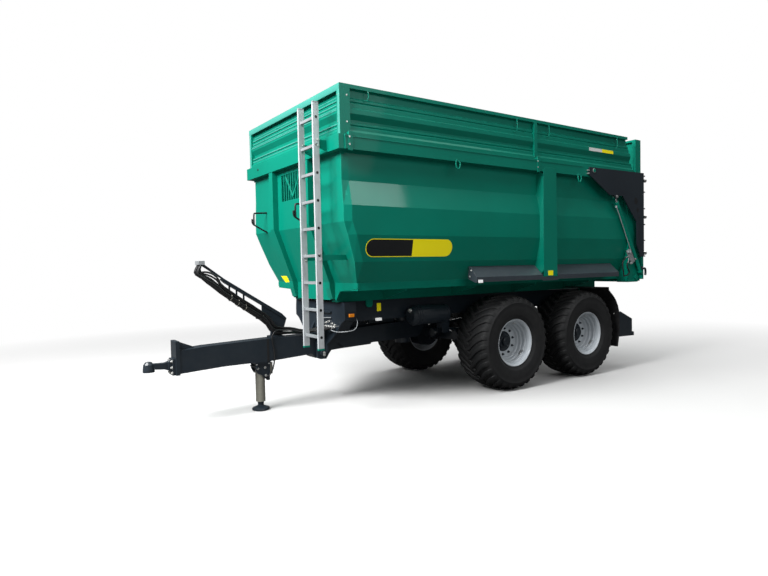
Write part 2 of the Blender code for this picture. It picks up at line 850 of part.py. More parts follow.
def lamp_beam():
    pieces = [box(-1.640, -1.560, -1.180, 1.180, 0.640, 0.740)]
    side_line = [
        (-1.4405, 0.860),
        (-1.460, 0.872),
        (-1.752, 0.745),
        (-1.752, 0.555),
        (-1.802, 0.544),
        (-1.802, 0.490),
        (-1.4405, 0.498),
    ]
    for sign in (1, -1):
        a, b = sorted((sign * 1.188, sign * 1.200))
        pieces.append(prism("Y", side_line, a, b))
        a, b = sorted((sign * 0.880, sign * 0.892))
        pieces.append(prism("Y", side_line, a, b))
        a, b = sorted((sign * 0.885, sign * 1.195))
        pieces.append(box(-1.751, -1.620, a, b, 0.560, 0.740))
        pieces.append(box(-1.801, -1.700, a, b, 0.495, 0.543))
        pieces.append(box(-1.720, -1.690, a, b, 0.540, 0.565))
        a, b = sorted((sign * (RAIL_Y - 0.03), sign * (RAIL_Y + 0.03)))
        leg = [
            (-1.640, 0.700),
            (-1.640, 1.015),
            (-1.600, 1.060),
            (RAIL_REAR - GAP, 1.060),
            (RAIL_REAR - GAP, 0.700),
        ]
        pieces.append(prism("Y", leg, a, b))
    return join(*pieces)


node(lamp_beam(), "rear_lamp_beam", "anthracite", "chassis")


# Telescopic tipping cylinder: barrel, three tubes and the plunger with its ball

Tube = namedtuple("Tube", "node outer bore top bottom")
TUBES = [
    Tube(node="tip_barrel", outer=0.100, bore=0.0862, top=1.160, bottom=0.595),
    Tube(node="tip_stage_1", outer=0.0854, bore=0.0737, top=1.174, bottom=0.620),
    Tube(node="tip_stage_2", outer=0.0729, bore=0.0612, top=1.186, bottom=0.625),
    Tube(node="tip_stage_3", outer=0.0604, bore=0.0487, top=1.198, bottom=0.630),
    Tube(node="tip_stage_4", outer=0.0479, bore=0.0362, top=1.210, bottom=0.635),
]
for tube in TUBES:
    floor_of_tube = 0.020 if tube.node == "tip_barrel" else 0.0
    if tube.node == "tip_barrel":
        outline = [
            (0.0, tube.bottom),
            (tube.outer, tube.bottom),
            (tube.outer, tube.top),
            (tube.bore, tube.top),
            (tube.bore, tube.bottom + floor_of_tube),
            (0.0, tube.bottom + floor_of_tube),
        ]
    else:
        outline = [(tube.bore, tube.bottom), (tube.outer, tube.bottom), (tube.outer, tube.top), (tube.bore, tube.top)]
    piece = turned("Z", outline, (TIP_BASE_X, 0, 0), ROUND_PIPE + 4)
    if tube.node == "tip_barrel":
        pin_left = disc("Y", 0.028, 0.092, 0.1465, (TIP_BASE_X, 0, TIP_BASE_Z), ROUND_PIPE)
        pin_right = disc("Y", 0.028, -0.1465, -0.092, (TIP_BASE_X, 0, TIP_BASE_Z), ROUND_PIPE)
        piece = join(piece, pin_left, pin_right)
    node(piece, tube.node, "anthracite" if tube.node == "tip_barrel" else "steel", tube.node, True)


def tip_plunger():
    outline = [
        (0.0, 0.640),
        (0.0354, 0.640),
        (0.0354, 1.220),
        (0.021, 1.226),
        (0.021, 1.246),
        (0.033, 1.257),
        (0.036, TIP_TOP_Z),
        (0.028, 1.292),
        (0.0, 1.301),
    ]
    return turned("Z", outline, (TIP_BASE_X, 0, 0), ROUND_PIPE)


node(tip_plunger(), "tip_plunger", "steel", "tip_plunger", True)


# Tub floor with its sills, beams and gussets

def inner_side(line):
    """The inside of a section, run back from the right edge to the left one."""
    return [(-y, z) for y, z in line] + list(reversed(line))


def tub_floor():
    edge = SIDE_PROFILE[-1]
    front = FRONT_PROFILE[-1].x
    outer = [(edge.y, edge.z - GAP), (edge.y, SILL_Z), (FLOOR_HALF, FLOOR_Z)]
    inner = [(edge.y - WALL, edge.z - GAP), (edge.y - WALL, SILL_Z + WALL), (FLOOR_HALF, FLOOR_Z + WALL)]
    outline = outer + [(-y, z) for y, z in reversed(outer)]
    outline += inner_side(inner)
    pieces = [prism("X", outline, TUB_REAR, front - 0.004)]
    apron = [
        (1.020, edge.z - GAP),
        (1.020, 1.372),
        (0.636, 1.335),
        (0.554, 1.232),
    ]
    apron += [(-y, z) for y, z in reversed(apron)]
    pieces.append(prism("X", apron, front - APRON, front))
    return join(*pieces)


node(tub_floor(), "tub_floor", "green", "tub")


# Underframe that is welded below the floor: beams, webs, hinge ears, guides and the cylinder's seat

def tub_underframe():
    edge = SIDE_PROFILE[-1]
    front = FRONT_PROFILE[-1].x - APRON
    under = FLOOR_Z - GAP
    slope = (SILL_Z - FLOOR_Z) / (edge.y - FLOOR_HALF)
    web_out = edge.y - 0.016
    pieces = []
    beam_in, beam_out = BEAM_Y - BEAM_WIDTH / 2, BEAM_Y + BEAM_WIDTH / 2
    for sign in (1, -1):
        a, b = sorted((sign * beam_in, sign * beam_out))
        pieces.append(box(BEAM_REAR, front - GAP, a, b, BEAM_BOTTOM, under))
        a, b = sorted((sign * (RAIL_Y + RAIL_WIDTH / 2 + SEAT + GAP), sign * (beam_out - 0.001)))
        ear = [
            (HINGE_X - 0.080, BEAM_BOTTOM + 0.040),
            (HINGE_X + 0.080, BEAM_BOTTOM + 0.040),
            (HINGE_X + 0.055, HINGE_Z - 0.030),
            (HINGE_X + 0.030, HINGE_Z - 0.055),
            (HINGE_X - 0.030, HINGE_Z - 0.055),
            (HINGE_X - 0.055, HINGE_Z - 0.030),
        ]
        pieces.append(prism("Y", ear, a, b))
        guide = [(2.460, BEAM_BOTTOM + 0.030), (2.545, BEAM_BOTTOM + 0.030), (2.545, 1.160), (2.525, 1.132), (2.480, 1.132), (2.460, 1.160)]
        pieces.append(prism("Y", guide, a, b))
        for x in (2.300, 1.250, 0.145, -1.000):
            web = [
                (sign * (beam_out - 0.010), BEAM_BOTTOM + 0.012),
                (sign * (beam_out + 0.050), BEAM_BOTTOM + 0.012),
                (sign * web_out, SILL_Z - 0.020),
                (sign * web_out, under + slope * (web_out - FLOOR_HALF)),
                (sign * FLOOR_HALF, under),
                (sign * (beam_out - 0.010), under),
            ]
            pieces.append(prism("X", web, x - 0.008, x + 0.008))
    for x in (2.300, TIP_TOP_X + 0.130, TIP_TOP_X - 0.130, 0.145, -1.000):
        pieces.append(box(x - 0.030, x + 0.030, -beam_in - 0.010, beam_in + 0.010, 1.240, under))
    pieces.append(box(TIP_TOP_X - 0.110, TIP_TOP_X + 0.110, -0.120, 0.120, 1.307, 1.323))
    frame = join(*pieces)
    bore = disc("Y", HINGE_PIN_R + 0.001, -0.60, 0.60, (HINGE_X, 0, HINGE_Z), ROUND_PIPE)
    return cut(frame, bore)


node(tub_underframe(), "tub_underframe", "green", "tub")


# Side walls and the front wall between them

def side_wall():
    outer = []
    inner = []
    for station in SIDE_PROFILE:
        z = station.z - (GAP if station is SIDE_PROFILE[0] else 0)
        x = front_x(z)
        half = min(station.y, front_half(z))
        row = [(TUB_REAR, station.y, z), (x - 0.080, station.y, z), (x, half, z)]
        outer.append(row)
        inner.append([(px, py - WALL, z) for px, py, _ in row[:2]] + [(x, half - WALL, z)])
    return slab(outer, inner)


pair(side_wall(), "tub_side", "green", "tub", "tub")


def front_wall():
    outer = []
    inner = []
    for row in FRONT_PROFILE:
        z = row.z - (GAP if row is FRONT_PROFILE[0] else 0)
        half = row.half - WALL - GAP
        outer.append([(row.x, half, z), (row.x, -half, z)])
        inner.append([(row.x - WALL, half, z), (row.x - WALL, -half, z)])
    low, high, half = 2.410, 2.726, 0.315
    wall = cut(slab(outer, inner), box(TUB_FRONT - 0.1, TUB_FRONT + 0.1, -half, half, low, high))
    pieces = [wall]
    for k in range(1, 10):
        y = -half + 2 * half * k / 10
        pieces.append(box(TUB_FRONT - 0.010, TUB_FRONT - 0.003, y - 0.007, y + 0.007, low - 0.004, high + 0.004))
    for sign in (1, -1):
        brace = [
            (sign * 0.210, 2.700),
            (sign * 0.185, 2.700),
            (sign * -0.006, 2.455),
            (sign * 0.006, 2.438),
        ]
        pieces.append(prism("X", brace, TUB_FRONT - 0.0065, TUB_FRONT + 0.003))
    foot = FRONT_PROFILE[-1]
    upright = [
        (TUB_FRONT - 0.004, 2.783),
        (TUB_FRONT + UPRIGHT_DEEP, 2.783),
        (TUB_FRONT + UPRIGHT_DEEP, 2.085),
        (foot.x + UPRIGHT_DEEP, 1.440),
        (foot.x + UPRIGHT_DEEP - 0.008, 1.365),
        (foot.x + 0.030, 1.250),
        (foot.x + GAP, 1.250),
        (foot.x + GAP, 1.4302),
        (foot.x - 0.004, 1.4302),
        (TUB_FRONT - 0.004, 2.070),
    ]
    for sign in (1, -1):
        a, b = sorted((sign * (UPRIGHT_Y - 0.052), sign * (UPRIGHT_Y + 0.052)))
        pieces.append(prism("Y", upright, a, b))
    for y in LADDER_RAILS:
        pieces.append(box(front_x(1.708) - 0.006, LADDER_X - GAP, y - 0.006, y + 0.006, 1.680, 1.735))
    return join(*pieces)


node(front_wall(), "tub_front_wall", "green", "tub")


# Top chords round three sides, with the tailgate hinge pins

def top_chords():
    front_low = TUB_FRONT - 0.012
    pieces = [box(front_low, 3.263, -1.235, 1.235, CHORD_BOTTOM, CHORD_TOP)]
    for sign in (1, -1):
        a, b = sorted((sign * 1.120, sign * CHORD_OUT_Y))
        outline = [
            (sign * 1.110, front_low + 0.02),
            (sign * CHORD_OUT_Y, front_low + 0.02),
            (sign * CHORD_OUT_Y, CHORD_SLIM_X),
            (sign * CHORD_SLIM_Y, CHORD_SLIM_X - 0.030),
            (sign * CHORD_SLIM_Y, -1.850),
            (sign * 1.110, -1.850),
        ]
        pieces.append(prism("Z", [(x, y) for y, x in outline], CHORD_BOTTOM, CHORD_TOP))
        a, b = sorted((sign * (CHORD_OUT_Y - 0.01), sign * (ARM_Y + ARM_THICK + 0.010)))
        pieces.append(disc("Y", 0.024, a, b, (GATE_HINGE_X, 0, GATE_HINGE_Z), ROUND_PIPE))
    for y in LADDER_RAILS:
        plate = [(3.250, 2.905), (LADDER_X - GAP, 2.905), (LADDER_X - GAP, 2.820), (3.250, 2.790)]
        pieces.append(prism("Y", plate, y - 0.006, y + 0.006))
    return join(*pieces)


node(top_chords(), "top_chords", "green", "tub")


# The one wide post on each side

def side_post():
    levels = [(2.783, 1.205), (2.745, CHORD_OUT_Y), (2.485, CHORD_OUT_Y), (2.235, CHORD_OUT_Y), (1.935, CHORD_OUT_Y), (1.655, CHORD_OUT_Y), (1.520, CHORD_OUT_Y), (1.436, 1.170)]
    outer = []
    inner = []
    for z, y in levels:
        outer.append([(0.020, y, z), (0.270, y, z)])
        skin = side_y(z) + GAP
        inner.append([(0.000, skin, z), (0.290, skin, z)])
    return slab(outer, inner)


pair(side_post(), "side_post", "green", "tub", "tub")


# Extension boards

Fold = namedtuple("Fold", "z out")
BOARD_FOLDS = [
    Fold(z=3.405, out=-0.034),
    Fold(z=3.318, out=-0.034),
    Fold(z=3.302, out=-0.018),
    Fold(z=3.280, out=-0.018),
    Fold(z=3.272, out=-0.026),
    Fold(z=3.262, out=-0.014),
    Fold(z=3.214, out=-0.014),
    Fold(z=3.204, out=0.0),
    Fold(z=3.156, out=0.0),
    Fold(z=3.098, out=-0.034),
    Fold(z=3.072, out=-0.034),
    Fold(z=3.062, out=-0.014),
    Fold(z=3.046, out=-0.014),
    Fold(z=3.038, out=-0.022),
    Fold(z=3.026, out=-0.010),
    Fold(z=2.992, out=-0.010),
    Fold(z=2.968, out=0.006),
    Fold(z=CHORD_TOP + GAP, out=0.006),
]


def side_board():
    outer = []
    inner = []
    front = BOARD_FRONT - 0.040
    for fold in BOARD_FOLDS:
        share = (fold.z - CHORD_TOP) / (BOARD_TOP - CHORD_TOP)
        rear = -1.800 + (BOARD_REAR + 1.800) * share
        y = BOARD_OUT_Y + fold.out
        outer.append([(rear, y, fold.z), (front, y, fold.z)])
        inner.append([(rear, BOARD_OUT_Y - 0.048, fold.z), (front, BOARD_OUT_Y - 0.048, fold.z)])
    board = slab(outer, inner)
    rail = box(BOARD_REAR, front, BOARD_OUT_Y - 0.052, BOARD_OUT_Y + 0.008, 3.402, BOARD_TOP)
    post = box(0.330, 0.385, BOARD_OUT_Y - 0.050, BOARD_OUT_Y + 0.010, CHORD_TOP + GAP, BOARD_TOP - 0.004)
    corner = box(front - 0.070, front, BOARD_OUT_Y - 0.0495, BOARD_OUT_Y + 0.0075, CHORD_TOP + GAP, BOARD_TOP - 0.003)
    return join(board, rail, post, corner)


pair(side_board(), "side_board", "green", "tub", "tub")


def front_board():
    outer = []
    inner = []
    half = BOARD_OUT_Y
    back = BOARD_FRONT - 0.040 + GAP
    for fold in BOARD_FOLDS:
        x = BOARD_FRONT + fold.out
        outer.append([(x, half - 0.002, fold.z), (x, -half + 0.002, fold.z)])
        inner.append([(back, half - 0.002, fold.z), (back, -half + 0.002, fold.z)])
    pieces = [slab(outer, inner)]
    pieces.append(box(back - 0.0, BOARD_FRONT + 0.008, -half - 0.0075, half + 0.0075, 3.402, BOARD_TOP))
    for sign in (1, -1):
        a, b = sorted((sign * (half - 0.055), sign * (half + 0.007)))
        pieces.append(box(back + 0.001, BOARD_FRONT + 0.0095, a, b, CHORD_TOP + GAP, BOARD_TOP - 0.003))
    return join(*pieces)


node(front_board(), "front_board", "green", "tub")


# Rear frame of the tub: columns and a bottom beam

def rear_frame():
    pieces = []
    edge = SIDE_PROFILE[-1]
    for sign in (1, -1):
        outer = []
        inner = []
        for z in (2.784, 2.485, 2.235, 1.935, 1.655, 1.4303, 1.4297, CORNER_BOTTOM):
            skin = side_y(z) + GAP if z > edge.z else edge.y + GAP
            reach = max(skin + 0.004, COLUMN_OUT_Y)
            outer.append([(COLUMN_REAR, sign * reach, z), (COLUMN_FRONT, sign * reach, z)])
            inner.append([(COLUMN_REAR, sign * skin, z), (COLUMN_FRONT, sign * skin, z)])
        pieces.append(slab(outer, inner))
        a, b = sorted((sign * 1.070, sign * (GATE_RAM_Y - 0.0355)))
        pieces.append(box(-1.919, -1.802, a, b, GATE_BASE_Z - 0.045, GATE_BASE_Z + 0.045))
        a, b = sorted((sign * 1.100, sign * (GATE_RAM_Y + 0.030)))
        pieces.append(disc("Y", 0.016, a, b, (GATE_BASE_X, 0, GATE_BASE_Z), ROUND_SMALL))
        a, b = sorted((sign * 1.190, sign * (COLUMN_OUT_Y + 0.022)))
        pieces.append(disc("Y", 0.036, a, b, (-1.835, 0, 1.370), ROUND_PIPE))
    top = [(edge.y + 0.020, SILL_Z - GAP * 2), (FLOOR_HALF, FLOOR_Z - GAP * 2)]
    outline = top + [(-y, z) for y, z in reversed(top)]
    outline += [(-edge.y - 0.020, CORNER_BOTTOM + 0.002), (edge.y + 0.020, CORNER_BOTTOM + 0.002)]
    pieces.append(prism("X", outline, COLUMN_REAR + 0.001, BEAM_REAR - GAP))
    return join(*pieces)


node(rear_frame(), "tub_rear_frame", "green", "tub")


# Skirts over the wheels, one on each side of the post

Skirt = namedtuple("Skirt", "name front rear")
SKIRTS = [Skirt(name="skirt_front", front=1.450, rear=0.295), Skirt(name="skirt_rear", front=-0.005, rear=-1.350)]
for skirt in SKIRTS:
    line = [(side_y(1.585) + GAP, 1.585), (1.250, 1.455), (1.250, 1.395), (1.243, 1.395), (1.243, 1.450), (side_y(1.577) + GAP, 1.575)]
    pair(prism("X", line, skirt.rear, skirt.front), skirt.name, "anthracite", "tub", "tub")


# Ladder on the front wall

def ladder():
    pieces = []
    for y in LADDER_RAILS:
        pieces.append(box(LADDER_X, LADDER_X + 0.065, y - 0.0125, y + 0.0125, 0.760, 3.280))
    low_y, high_y = LADDER_RAILS
    for k in range(9):
        z = 0.887 + 0.280 * k
        pieces.append(box(LADDER_X + 0.015, LADDER_X + 0.045, low_y - 0.005, high_y + 0.005, z - 0.014, z + 0.014))
    return join(*pieces)


node(ladder(), "ladder", "aluminium", "tub")


# Tailgate: panel, side arms, top board

GATE_KNOBS = (2.820, 2.278, 1.730)


def gate_panel():
    half = [
        (1.200, CHORD_TOP),
        (COLUMN_OUT_Y, 1.935),
        (COLUMN_OUT_Y, 1.655),
        (1.195, 1.420),
        (1.190, CORNER_BOTTOM + 0.010),
    ]
    outline = half + [(-y, z) for y, z in reversed(half)]
    panel = prism("X", outline, GATE_FRONT - GATE_THICK, GATE_FRONT)
    pieces = [panel]
    for sign in (1, -1):
        a, b = sorted((sign * 1.160, sign * (ARM_Y - GAP)))
        pieces.append(box(ARM_REAR - 0.018, GATE_FRONT - 0.004, a, b, 1.700, CHORD_TOP - 0.014))
        a, b = sorted((sign * 1.161, sign * 1.245))
        pieces.append(box(-1.985, GATE_FRONT - 0.013, a, b, 1.335, 1.705))
        for y in (0.400, 0.800):
            a, b = sorted((sign * (y - 0.035), sign * (y + 0.035)))
            pieces.append(box(GATE_REAR, GATE_FRONT - 0.010, a, b, 1.320, CHORD_TOP - 0.014))
        for z in GATE_KNOBS:
            pieces.append(disc("X", 0.010, GATE_REAR + 0.010, ARM_REAR - 0.010, (0, sign * 1.248, z), 8))
            pieces.append(disc("X", 0.019, GATE_REAR + 0.001, GATE_REAR + 0.026, (0, sign * 1.248, z), 10))
    pieces.append(box(GATE_REAR + 0.012, GATE_FRONT - 0.010, -1.175, 1.175, CHORD_TOP - 0.110, CHORD_TOP - 0.010))
    pieces.append(box(GATE_REAR + 0.012, GATE_FRONT - 0.010, -1.170, 1.170, 2.060, 2.140))
    pieces.append(box(GATE_REAR + 0.012, GATE_FRONT - 0.010, -1.165, 1.165, 1.420, 1.500))
    return join(*pieces)


node(gate_panel(), "tailgate_panel", "green", "tailgate")


def gate_arm():
    outline = [
        Point(x=-0.654, z=2.910),
        Point(x=-0.642, z=2.810),
        Point(x=GATE_ROD_X + 0.165, z=GATE_ROD_Z + 0.013),
        Point(x=GATE_ROD_X - 0.146, z=GATE_ROD_Z + 0.015),
        Point(x=-1.765, z=2.190),
        Point(x=-1.776, z=1.848),
        Point(x=-1.866, z=1.669),
        Point(x=ARM_REAR, z=1.683),
        Point(x=ARM_REAR, z=2.925),
    ]
    arm = prism("Y", [(p.x, p.z) for p in outline], ARM_Y, ARM_Y + ARM_THICK)
    arm = cut(arm, disc("Y", 0.025, ARM_Y - 0.01, ARM_Y + ARM_THICK + 0.01, (GATE_HINGE_X, 0, GATE_HINGE_Z)))
    ear = disc("Y", 0.045, ARM_Y, ARM_Y + ARM_THICK, (GATE_ROD_X, 0, GATE_ROD_Z + 0.012), ROUND_PIPE)
    return join(arm, ear)


pair(gate_arm(), "tailgate_arm", "anthracite", "tailgate", "tailgate")


def gate_board():
    outer = []
    inner = []
    half = BOARD_OUT_Y
    for fold in BOARD_FOLDS:
        x = -1.955 - fold.out
        outer.append([(x, half - 0.002, fold.z), (x, -half + 0.002, fold.z)])
        inner.append([(-1.905, half - 0.002, fold.z), (-1.905, -half + 0.002, fold.z)])
    pieces = [slab(outer, inner)]
    pieces.append(box(-1.985, -1.850, -half - 0.003, half + 0.003, 3.402, BOARD_TOP - 0.010))
    for sign in (1, -1):
        a, b = sorted((sign * (half - 0.050), sign * (half + 0.004)))
        pieces.append(box(-1.984, -1.852, a, b, CHORD_TOP + GAP, BOARD_TOP - 0.012))
    return join(*pieces)


node(gate_board(), "tailgate_board", "green", "tailgate")


# Tailgate cylinders

def ram_line():
    start = Vector((GATE_BASE_X, GATE_RAM_Y, GATE_BASE_Z))
    end = Vector((GATE_ROD_X, GATE_RAM_Y, GATE_ROD_Z))
    return start, end


def gate_barrel():
    start, end = ram_line()
    eye = disc("Y", 0.030, -0.022, 0.022, (GATE_BASE_X, GATE_RAM_Y, GATE_BASE_Z), ROUND_PIPE)
    top = (end - start).length - 0.085
    line = [
        (0.0, 0.022),
        (0.029, 0.022),
        (0.029, top - 0.036),
        (0.032, top - 0.032),
        (0.032, top),
        (0.0182, top),
        (0.0182, 0.050),
        (0.0, 0.050),
    ]
    shell = turned("Z", line, (0, 0, 0), ROUND_PIPE)
    shell.data.transform(aim(start, end))
    barrel = join(shell, eye)
    return cut(barrel, disc("Y", 0.0165, -0.05, 0.05, (GATE_BASE_X, GATE_RAM_Y, GATE_BASE_Z), ROUND_SMALL))


def gate_rod():
    start, end = ram_line()
    length = (end - start).length
    eye = disc("Y", 0.030, -0.018, 0.0185, (GATE_ROD_X, GATE_RAM_Y, GATE_ROD_Z), ROUND_PIPE)
    bar = disc("Z", 0.0175, 0.070, length - 0.022, (0, 0, 0), ROUND_PIPE)
    bar.data.transform(aim(start, end))
    return join(bar, eye)


pair(gate_barrel(), "gate_barrel", "green", "gate_barrel_left", "gate_barrel_right", True)
pair(gate_rod(), "gate_rod", "steel", "gate_rod_left", "gate_rod_right", True)


# Everything is moved so that the origin lies under the middle, then hung on its joint

for piece, _ in NODES:
    piece.data.transform(Matrix.Translation((-MID_X, 0, 0)))
bpy.context.view_layer.update()
for piece, body_name in NODES:
    if body_name in BODIES:
        pivot = BODIES[body_name][0]
        piece.parent = pivot
        piece.matrix_parent_inverse = pivot.matrix_world.inverted()
bpy.context.view_layer.update()
for pivot, parent_name in BODIES.values():
    if parent_name in BODIES:
        holder = BODIES[parent_name][0]
        pivot.parent = holder
        pivot.matrix_parent_inverse = holder.matrix_world.inverted()
bpy.context.view_layer.update()
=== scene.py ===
"""Dressing for the tandem tipping trailer: materials, tread, fasteners, lines, lamps, camera and light."""

import json
import math

import bmesh
import bpy
from mathutils import Matrix, Vector


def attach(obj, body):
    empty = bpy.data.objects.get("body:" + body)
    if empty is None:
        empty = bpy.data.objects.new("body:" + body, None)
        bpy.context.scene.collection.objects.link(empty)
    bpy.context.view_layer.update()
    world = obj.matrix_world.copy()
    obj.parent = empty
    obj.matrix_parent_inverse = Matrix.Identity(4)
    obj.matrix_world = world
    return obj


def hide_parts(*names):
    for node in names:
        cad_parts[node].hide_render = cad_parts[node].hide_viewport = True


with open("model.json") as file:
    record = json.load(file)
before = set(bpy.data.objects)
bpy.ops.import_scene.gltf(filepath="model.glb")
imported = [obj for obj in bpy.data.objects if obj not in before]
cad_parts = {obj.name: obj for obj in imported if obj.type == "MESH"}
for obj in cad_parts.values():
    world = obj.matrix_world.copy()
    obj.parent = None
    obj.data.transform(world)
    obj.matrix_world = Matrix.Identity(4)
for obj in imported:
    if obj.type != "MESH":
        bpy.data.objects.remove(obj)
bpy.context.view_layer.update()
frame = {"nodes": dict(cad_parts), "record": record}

# How far the frame's origin, under the middle of the length, lies ahead of the middle of the tandem
MID_X = 1.432


# Materials

class Nodes:
    """Short calls for building one material's node tree."""

    def __init__(self, name):
        self.material = bpy.data.materials.new(name)
        self.material.use_nodes = True
        self.tree = self.material.node_tree
        self.shader = self.tree.nodes["Principled BSDF"]
        self.coords = self.tree.nodes.new("ShaderNodeTexCoord").outputs["Object"]

    def add(self, kind, inputs=None, **settings):
        made = self.tree.nodes.new(kind)
        for key, value in settings.items():
            setattr(made, key, value)
        for key, value in (inputs or {}).items():
            self.plug(made.inputs[key], value)
        return made

    def plug(self, socket, value):
        if isinstance(value, bpy.types.NodeSocket):
            self.tree.links.new(value, socket)
        else:
            socket.default_value = value

    def noise(self, scale, detail=4.0, rough=0.55, stretch=None):
        where = self.coords
        if stretch:
            where = self.add(
                "ShaderNodeMapping", {"Vector": self.coords, "Scale": stretch},
            ).outputs["Vector"]
        return self.add(
            "ShaderNodeTexNoise",
            {"Vector": where, "Scale": scale, "Detail": detail, "Roughness": rough},
        ).outputs["Fac"]

    def ramp(self, value, low, high, low_out=0.0, high_out=1.0):
        return self.add(
            "ShaderNodeMapRange",
            {"Value": value, "From Min": low, "From Max": high, "To Min": low_out, "To Max": high_out},
        ).outputs["Result"]

    def mix(self, share, first, second):
        made = self.add("ShaderNodeMix", data_type="RGBA")
        for key, value in ((0, share), (6, first), (7, second)):
            self.plug(made.inputs[key], value)
        return made.outputs[2]

    def math(self, operation, first, second=0.0):
        return self.add("ShaderNodeMath", {0: first, 1: second}, operation=operation).outputs[0]

    def axis(self, letter):
        return self.add("ShaderNodeSeparateXYZ", {"Vector": self.coords}).outputs[letter]

    def set(self, **sockets):
        for key, value in sockets.items():
            self.plug(self.shader.inputs[key.replace("_", " ")], value)
        return self

    def bump(self, height, strength=0.1, distance=0.002):
        bump = self.add("ShaderNodeBump", {"Height": height, "Strength": strength, "Distance": distance})
        self.tree.links.new(bump.outputs["Normal"], self.shader.inputs["Normal"])
        return self


def worn_and_highlit_edge(work, radius):
    """1 where a bend or edge lies within the radius, from the rounded normal against the true one."""
    soft = work.add("ShaderNodeBevel", {"Radius": radius}, samples=4).outputs["Normal"]
    true = work.add("ShaderNodeNewGeometry").outputs["Normal"]
    match = work.add("ShaderNodeVectorMath", {0: soft, 1: true}, operation="DOT_PRODUCT").outputs["Value"]
    return work.ramp(match, 0.985, 0.90)


def paint(
    name, base, dark, rough, coat, dust, edge, tint=(1, 1, 1, 1), glow=0.0, crease_shade=0.0,
    dust_colour=(0.110, 0.105, 0.090, 1),
):
    """Sprayed paint: faint orange peel, slow tone changes, edges painted lighter for wear and as a highlight,
    a little dust low down, and where asked, painted shade in creases and a painted glow.
    """
    work = Nodes(name)
    slow = work.ramp(work.noise(0.9, 3.0), 0.35, 0.65)
    colour = work.mix(slow, dark, base)
    patchy = work.ramp(work.noise(7.0, 6.0, 0.7), 0.42, 0.75)
    low_down = work.ramp(work.axis("Z"), 0.3, 2.0, 1.0, 0.0)
    film = work.math("MULTIPLY", work.math("MULTIPLY", patchy, dust), work.math("ADD", 0.25, low_down))
    colour = work.mix(film, colour, dust_colour)
    # Edges and bends are painted lighter: partly wear, partly a painted highlight.
    lit = work.math("MULTIPLY", worn_and_highlit_edge(work, 0.006), edge)
    colour = work.mix(lit, colour, [min(1.0, c * 2.2 + 0.02) for c in base[:3]] + [1])
    # Painted shade: ambient occlusion darkens the paint in creases, grooves and hollows.
    if crease_shade:
        crease_occlusion = work.add("ShaderNodeAmbientOcclusion", {"Distance": 0.045}, samples=6).outputs["AO"]
        colour = work.mix(work.ramp(crease_occlusion, 0.25, 0.85, crease_shade, 0.0), colour, dark)
        colour = work.mix(
            work.ramp(crease_occlusion, 0.20, 0.62, crease_shade, 0.0), colour, [c * 0.25 for c in dark[:3]] + [1],
        )
    roughness = work.ramp(work.noise(3.0, 5.0), 0.3, 0.7, rough - 0.05, rough + 0.10)
    work.set(Base_Color=colour, Roughness=roughness, Specular_IOR_Level=0.22, Specular_Tint=tint)
    work.set(Coat_Weight=coat, Coat_Roughness=0.07)
    # Painted glow: the colour is sent out as light though the part is no lamp.
    if glow:
        work.set(Emission_Color=colour, Emission_Strength=glow)
    peel = work.math("MULTIPLY", work.noise(260.0, 2.0), 0.25)
    sheet = work.math("MULTIPLY", work.noise(1.6, 2.0), 9.0)
    work.bump(work.math("ADD", peel, sheet), 0.10, 0.0012)
    return work.material


GREEN_TINT = (0.25, 1.0, 0.85, 1)
GREEN = paint(
    "paint_green", (0.0005, 0.184, 0.124, 1), (0.0005, 0.160, 0.107, 1), 0.42, 0.16, 0.02, 0.30, GREEN_TINT,
)
# Rails and beads are rounder than the sheets, so they hold more of the sky: their paler green is a painted sky
# reflection
GREEN_BEAD_SHEEN = paint(
    "paint_green_bead_painted_sheen", (0.060, 0.300, 0.245, 1), (0.045, 0.260, 0.210, 1), 0.36, 0.50, 0.0, 0.0,
)
ANTHRACITE = paint(
    "paint_anthracite", (0.0125, 0.0190, 0.0265, 1), (0.0095, 0.0150, 0.0215, 1), 0.40, 0.30, 0.05, 0.25,
)
# A lighter copy of the anthracite for the skirts, their strips and gussets: painted sky light on their faces.
ANTHRACITE_SKYLIT = paint("paint_anthracite_skylit", (0.046, 0.057, 0.068, 1), (0.034, 0.044, 0.054, 1), 0.36, 0.45, 0.07, 0.35)
# The silver takes painted shade in its creases and grooves.
SILVER = paint(
    "paint_silver", (0.560, 0.605, 0.645, 1), (0.400, 0.438, 0.470, 1), 0.30, 0.40, 0.12, 0.25, crease_shade=0.85,
)
# The yellow film glows a little: painted light, since the film is no lamp.
YELLOW = paint(
    "yellow_film", (0.940, 0.820, 0.006, 1), (0.900, 0.770, 0.006, 1), 0.40, 0.2, 0.04, 0.1, glow=0.10,
)
WHITE = paint("white_film", (0.780, 0.780, 0.770, 1), (0.690, 0.690, 0.680, 1), 0.40, 0.2, 0.10, 0.1)
BLACK = paint("black_film", (0.008, 0.009, 0.010, 1), (0.006, 0.006, 0.007, 1), 0.35, 0.3, 0.08, 0.1)


def metal(name, colour, rough, streak, metallic=1.0, grime=0.25):
    work = Nodes(name)
    lines = work.ramp(work.noise(60.0, 4.0, 0.6, streak), 0.3, 0.7)
    tone = work.mix(lines, [c * 0.82 for c in colour[:3]] + [1], colour)
    dull = work.math("MULTIPLY", work.ramp(work.noise(5.0, 6.0, 0.7), 0.48, 0.75), grime)
    tone = work.mix(dull, tone, (0.11, 0.105, 0.09, 1))
    roughness = work.ramp(lines, 0.0, 1.0, rough - 0.05, rough + 0.08)
    work.set(Base_Color=tone, Metallic=metallic, Roughness=roughness)
    work.bump(lines, 0.06, 0.0005)
    return work.material


